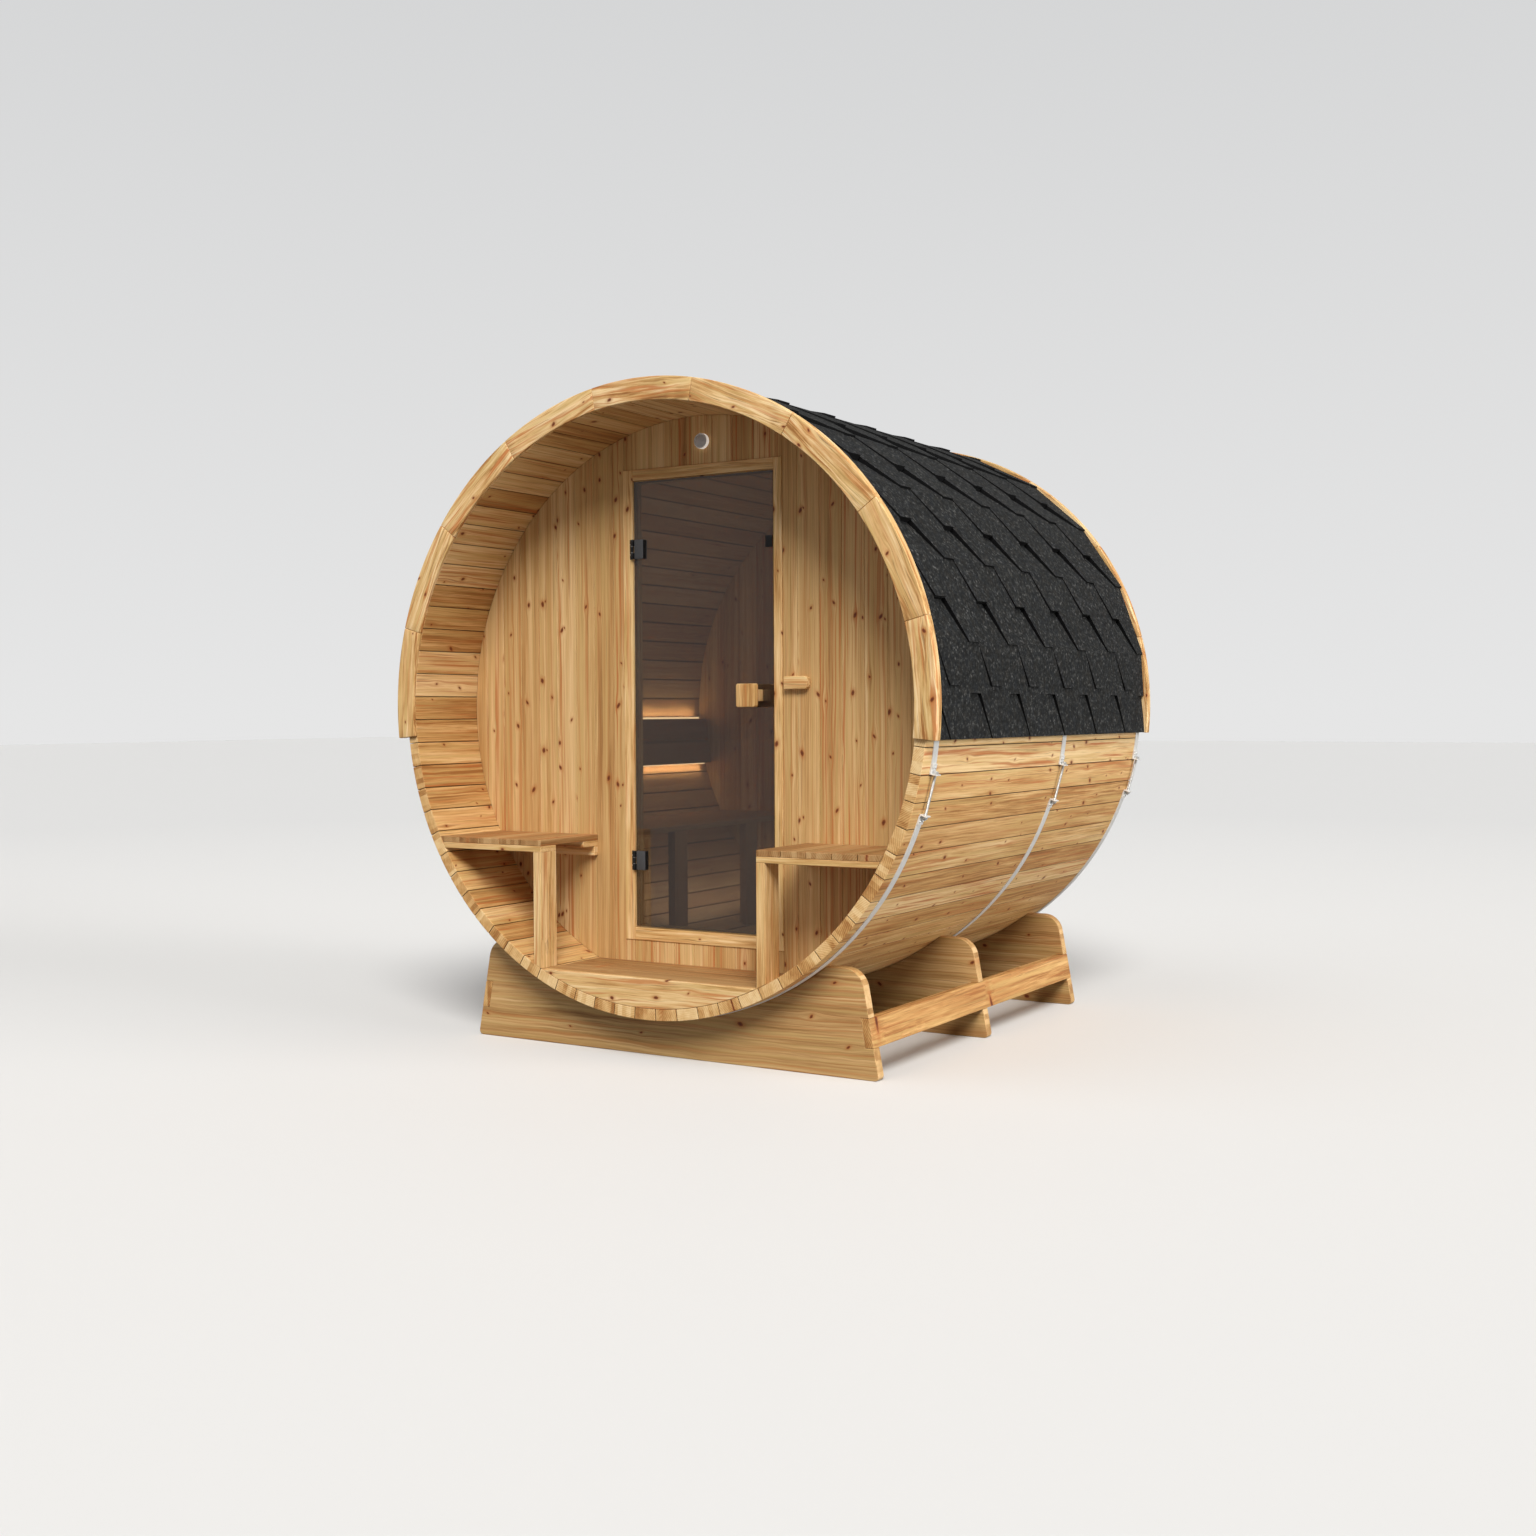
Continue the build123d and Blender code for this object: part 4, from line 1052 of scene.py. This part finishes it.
def lamp_mats():
    t = Tree("lamp_rim")
    g = t.attr("gco")
    n1 = t.noise(g, 300.0, 2.0)
    t.put(t.bsdf.inputs["Base Color"], t.ramp(n1, [(0.3, srgb(205, 203, 200)), (0.7, srgb(222, 221, 219))]))
    t.bsdf.inputs["Roughness"].default_value = 0.32
    t.bsdf.inputs["Metallic"].default_value = 0.3
    t.bump(n1, 0.0001, 0.3)
    s = Tree("lamp_diffuser")
    g = s.attr("gco")
    n1 = s.noise(g, 90.0, 2.0)
    s.put(s.bsdf.inputs["Base Color"], s.ramp(n1, [(0.3, srgb(182, 181, 184)), (0.7, srgb(198, 197, 199))]))
    s.bsdf.inputs["Roughness"].default_value = 0.18
    s.bump(n1, 0.0002, 0.3)
    w = Tree("lamp_side_painted_glow")
    n2 = w.noise(w.attr("gco"), 120.0, 2.0)
    w.put(w.bsdf.inputs["Base Color"], w.ramp(n2, [(0.3, srgb(240, 239, 236)), (0.7, srgb(250, 249, 247))]))
    w.bsdf.inputs["Roughness"].default_value = 0.3
    # the white side glows a little though the lamp is off: a painted highlight
    w.bsdf.inputs["Emission Color"].default_value = srgb(255, 250, 242)
    w.bsdf.inputs["Emission Strength"].default_value = 0.42
    w.bump(n2, 0.0001, 0.3)
    return [t.mat, s.mat, w.mat]


p.make(lamp_mats(), replaces="porch_light", sharp=35.0)

p = Piece("vis_latch_block")
pts = rounded(430.0, 82.5, 99.4, 46.4, 15.0, 7)
p.add(prism(pts[:8] + [(380.6, 105.7), (380.6, 59.3)] + pts[-8:], Y_WALL - 21.6, Y_WALL - 0.2), bevel=3.0, seg=3, **grain("x"))
p.make(WOOD_TRIM, replaces="latch_block", sharp=40.0)

# hinges: the fixed plate and the knuckle between the two clamp knuckles
KR = 6.0


def screw(p, x, y, z, r=3.2, slot=1):
    """A countersunk screw head in a plate facing the porch."""
    p.add(cylinder((x, y + 0.6, z), (x, y - 0.5, z), r, 18, prof=[(0, r), (0.7, r), (1.0, r * 0.86)]), bevel=0.0,
          grain=lambda q: tuple(q), slot=slot)


p = Piece("vis_hinge_plates")
for hz in HZ:
    p.add(prism(rounded(-294.0, hz, 11.6, 74.0, 2.0, 3), YF - 1.8, YF - 0.1), bevel=0.5, seg=2, grain=lambda q: tuple(q))
    p.add(cylinder((HX, HY, hz - 11.0), (HX, HY, hz + 11.0), KR, 24), bevel=0.6, seg=2, grain=lambda q: tuple(q))
    p.add(box(HX - 9.6, HX - 2.4, HY + 1.4, HY + 7.6, hz - 10.6, hz + 10.6), bevel=0.5, seg=1, grain=lambda q: tuple(q))
    for dz in (-19.0, 19.0):
        screw(p, -294.6, YF - 1.8, hz + dz, 4.6)
    # bright washers between the knuckles
    for dz in (-11.8, 11.8):
        p.add(cylinder((HX, HY, hz + dz - 0.6), (HX, HY, hz + dz + 0.6), KR - 0.3, 24), bevel=0.0, grain=lambda q: tuple(q), slot=1)
p.make([KNUCKLE, SCREW], replaces="hinge_plates", sharp=35.0)

p = Piece("vis_door_hinges")
for hz in HZ:
    bm = prism(rounded(-256.5, hz, 41.0, 72.0, 3.0, 4), Y_WALL - 10.0, Y_WALL)
    bmesh.ops.recalc_face_normals(bm, faces=bm.faces[:])
    bm.normal_update()
    for f in bm.faces:
        # the sides of the clamp are blackened
        f.material_index = 0 if abs(f.normal.y) > 0.5 else 1
    p.add(bm, bevel=1.2, seg=2, grain=lambda q: tuple(q))
    p.add(prism(rounded(-252.0, hz, 32.0, 72.0, 3.0, 4), Y_WALL + T_GLASS, Y_WALL + T_GLASS + 8.0), bevel=1.4, seg=2, grain=lambda q: tuple(q), slot=1)
    for z0 in (-36.0, 12.5):
        p.add(cylinder((HX, HY, hz + z0), (HX, HY, hz + z0 + 23.5), KR, 24), bevel=0.6, seg=2, grain=lambda q: tuple(q), slot=1)
        p.add(box(HX + 1.0, HX + 9.6, HY + 2.0, HY + 5.6, hz + z0 + 0.4, hz + z0 + 23.1), bevel=0.5, seg=1, grain=lambda q: tuple(q), slot=1)
p.make([HINGE, KNUCKLE], body=DOOR, replaces="door_hinges", sharp=35.0)

p = Piece("vis_door_catches")
for hz in HZ:
    p.add(prism(rounded(311.0, hz, 28.0, 42.0, 2.0, 3), Y_WALL - 4.0, Y_WALL), bevel=0.9, seg=2, grain=lambda q: tuple(q))
p.make(KNUCKLE, body=DOOR, replaces="door_catches", sharp=35.0)

# pulls
HCX, HCZ = 253.0, 39.0
for name, yg, out in (("door_handle_outside", Y_WALL, -1), ("door_handle_inside", Y_WALL + T_GLASS, 1)):
    p = Piece("vis_" + name)
    y0, y1 = sorted((yg, yg + out * 50.4))
    p.add(prism(rounded(HCX, HCZ, 58.0, 42.0, 2.0, 3), y0, y1), bevel=1.2, seg=2, **grain("z"))
    y0, y1 = sorted((yg + out * 50.0, yg + out * 75.0))
    p.add(prism(rounded(HCX, HCZ, 80.0, 84.0, 8.0, 6), y0, y1), bevel=3.0, seg=4, **grain("z"))
    p.make(WOOD_TRIM, body=DOOR, replaces=name, sharp=40.0)

# nodes that keep their own shape
for name, mat in (("door_glass", GLASS), ("light_strips", LED)):
    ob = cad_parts[name]
    ob.data.materials.clear()
    ob.data.materials.append(mat)

# ------------------------------------------------------------------ stage
me = bpy.data.meshes.new("floor")
S = 60.0
me.from_pydata([(-S, -S, 0), (S, -S, 0), (S, S, 0), (-S, S, 0)], [], [(0, 1, 2, 3)])
floor = bpy.data.objects.new("floor", me)
bpy.context.scene.collection.objects.link(floor)
t = Tree("floor_paint")
# pale to look at, but it throws only part of its light back up on the object
lp = t.nt.nodes.new("ShaderNodeLightPath")
tc = t.nt.nodes.new("ShaderNodeTexCoord")
far = t.nt.nodes.new("ShaderNodeVectorMath")
far.operation = "LENGTH"
t.put(far.inputs[0], tc.outputs["Object"])
# greyer further out: painted falloff of the studio light
pale = t.mix(t.span(far.outputs["Value"], 3.0, 14.0), (0.76, 0.752, 0.742, 1), (0.68, 0.68, 0.68, 1))
t.put(t.bsdf.inputs["Base Color"], t.mix(lp.outputs["Is Camera Ray"], (0.21, 0.206, 0.20, 1), pale))
t.bsdf.inputs["Roughness"].default_value = 0.6
t.bsdf.inputs["Specular IOR Level"].default_value = 0.2
me.materials.append(t.mat)

world = bpy.data.worlds.new("studio")
bpy.context.scene.world = world
world.use_nodes = True
nt = world.node_tree
bg = nt.nodes["Background"]
tc = nt.nodes.new("ShaderNodeTexCoord")
sp = nt.nodes.new("ShaderNodeSeparateXYZ")
cr = nt.nodes.new("ShaderNodeValToRGB")
nt.links.new(tc.outputs["Generated"], sp.inputs[0])
nt.links.new(sp.outputs[2], cr.inputs[0])
el = cr.color_ramp.elements
el[0].position, el[0].color = 0.0, (0.79, 0.79, 0.79, 1)
el[1].position, el[1].color = 0.40, (0.66, 0.665, 0.67, 1)
# the wall behind is paler than the light that it gives
lp = nt.nodes.new("ShaderNodeLightPath")
mx = nt.nodes.new("ShaderNodeMix")
mx.data_type = "RGBA"
nt.links.new(lp.outputs["Is Camera Ray"], mx.inputs[0])
mx.inputs[6].default_value = (0.265, 0.267, 0.27, 1)
nt.links.new(cr.outputs[0], mx.inputs[7])
nt.links.new(mx.outputs[2], bg.inputs[0])
bg.inputs[1].default_value = 1.0


def sun(name, azimuth, elevation, angle, share, colour=(1, 1, 1)):
    """A wide soft light from far off.  Azimuth turns from the porch side to the
    right; share is the part of full light that it gives square on."""
    li = bpy.data.lights.new(name, "SUN")
    li.energy, li.color, li.angle = share * math.pi, colour, rad(angle)
    ob = bpy.data.objects.new(name, li)
    a, e = rad(azimuth), rad(elevation)
    ob.rotation_euler = Vector((math.sin(a) * math.cos(e), -math.cos(a) * math.cos(e), math.sin(e))).to_track_quat("Z", "Y").to_euler()
    ob.location = (0, 0, 6)
    bpy.context.scene.collection.objects.link(ob)


def area(name, at, to, size, power, colour=(1, 1, 1), along=None):
    """A soft panel; along sets which way its second size runs."""
    li = bpy.data.lights.new(name, "AREA")
    li.shape, li.size, li.size_y = "RECTANGLE", size[0], size[1]
    li.energy, li.color = power, colour
    ob = bpy.data.objects.new(name, li)
    ob.location = at
    if along:
        z = (Vector(at) - Vector(to)).normalized()
        y = Vector(along)
        ob.rotation_euler = Matrix((y.cross(z), y, z)).transposed().to_euler()
    else:
        ob.rotation_euler = (Vector(to) - Vector(at)).to_track_quat("-Z", "Y").to_euler()
    ob.visible_camera = ob.visible_glossy = False
    bpy.context.scene.collection.objects.link(ob)


sun("key", 34.0, 43.0, 26.0, 1.02, (1.0, 0.985, 0.955))
sun("fill", -40.0, 50.0, 50.0, 0.15, (0.97, 0.985, 1.0))
sun("side", 97.0, 7.0, 36.0, 0.92, (1.0, 0.99, 0.975))
area("cabin_fill", (0.42, 0.0, 1.35), (-0.8, 0.3, 1.2), (0.6, 1.1), 5.9, (0.93, 0.95, 1.0))
area("glow_top", (-1.046, 0.17, 1.224), (-1.068, 0.17, 1.27), (0.008, 1.45), 2.3, (1.0, 0.77, 0.48), (0, 1, 0))
area("glow_low", (-1.014, 0.17, 0.986), (-1.046, 0.17, 0.93), (0.008, 1.45), 2.0, (1.0, 0.77, 0.48), (0, 1, 0))
area("bench_fill", (-0.53, 0.40, 0.50), (-0.95, 0.40, 0.44), (1.05, 0.14), 1.3, (1.0, 0.93, 0.86))
bpy.context.scene.view_settings.view_transform = "Standard"

# ------------------------------------------------------------------ camera
cam = bpy.data.cameras.new("camera")
cam.sensor_width = 36.0
cam.lens = 1720.177 / 1536.0 * 36.0
cam.clip_end = 300.0
yaw, pitch, roll = rad(31.30939), rad(-1.88825), rad(-0.27516)
fw = Vector((-math.sin(yaw) * math.cos(pitch), math.cos(yaw) * math.cos(pitch), math.sin(pitch)))
right = Vector((math.cos(yaw), math.sin(yaw), 0.0))
up = right.cross(fw)
r2 = right * math.cos(roll) + up * math.sin(roll)
u2 = -right * math.sin(roll) + up * math.cos(roll)
m = Matrix((r2, u2, -fw)).transposed().to_4x4()
m.translation = Vector(W((3.17475376 * RO, -4.45744356 * RO, -0.01672247 * RO)))
camera = bpy.data.objects.new("camera", cam)
camera.matrix_world = m
bpy.context.scene.collection.objects.link(camera)
bpy.context.scene.camera = camera

bpy.context.view_layer.update()
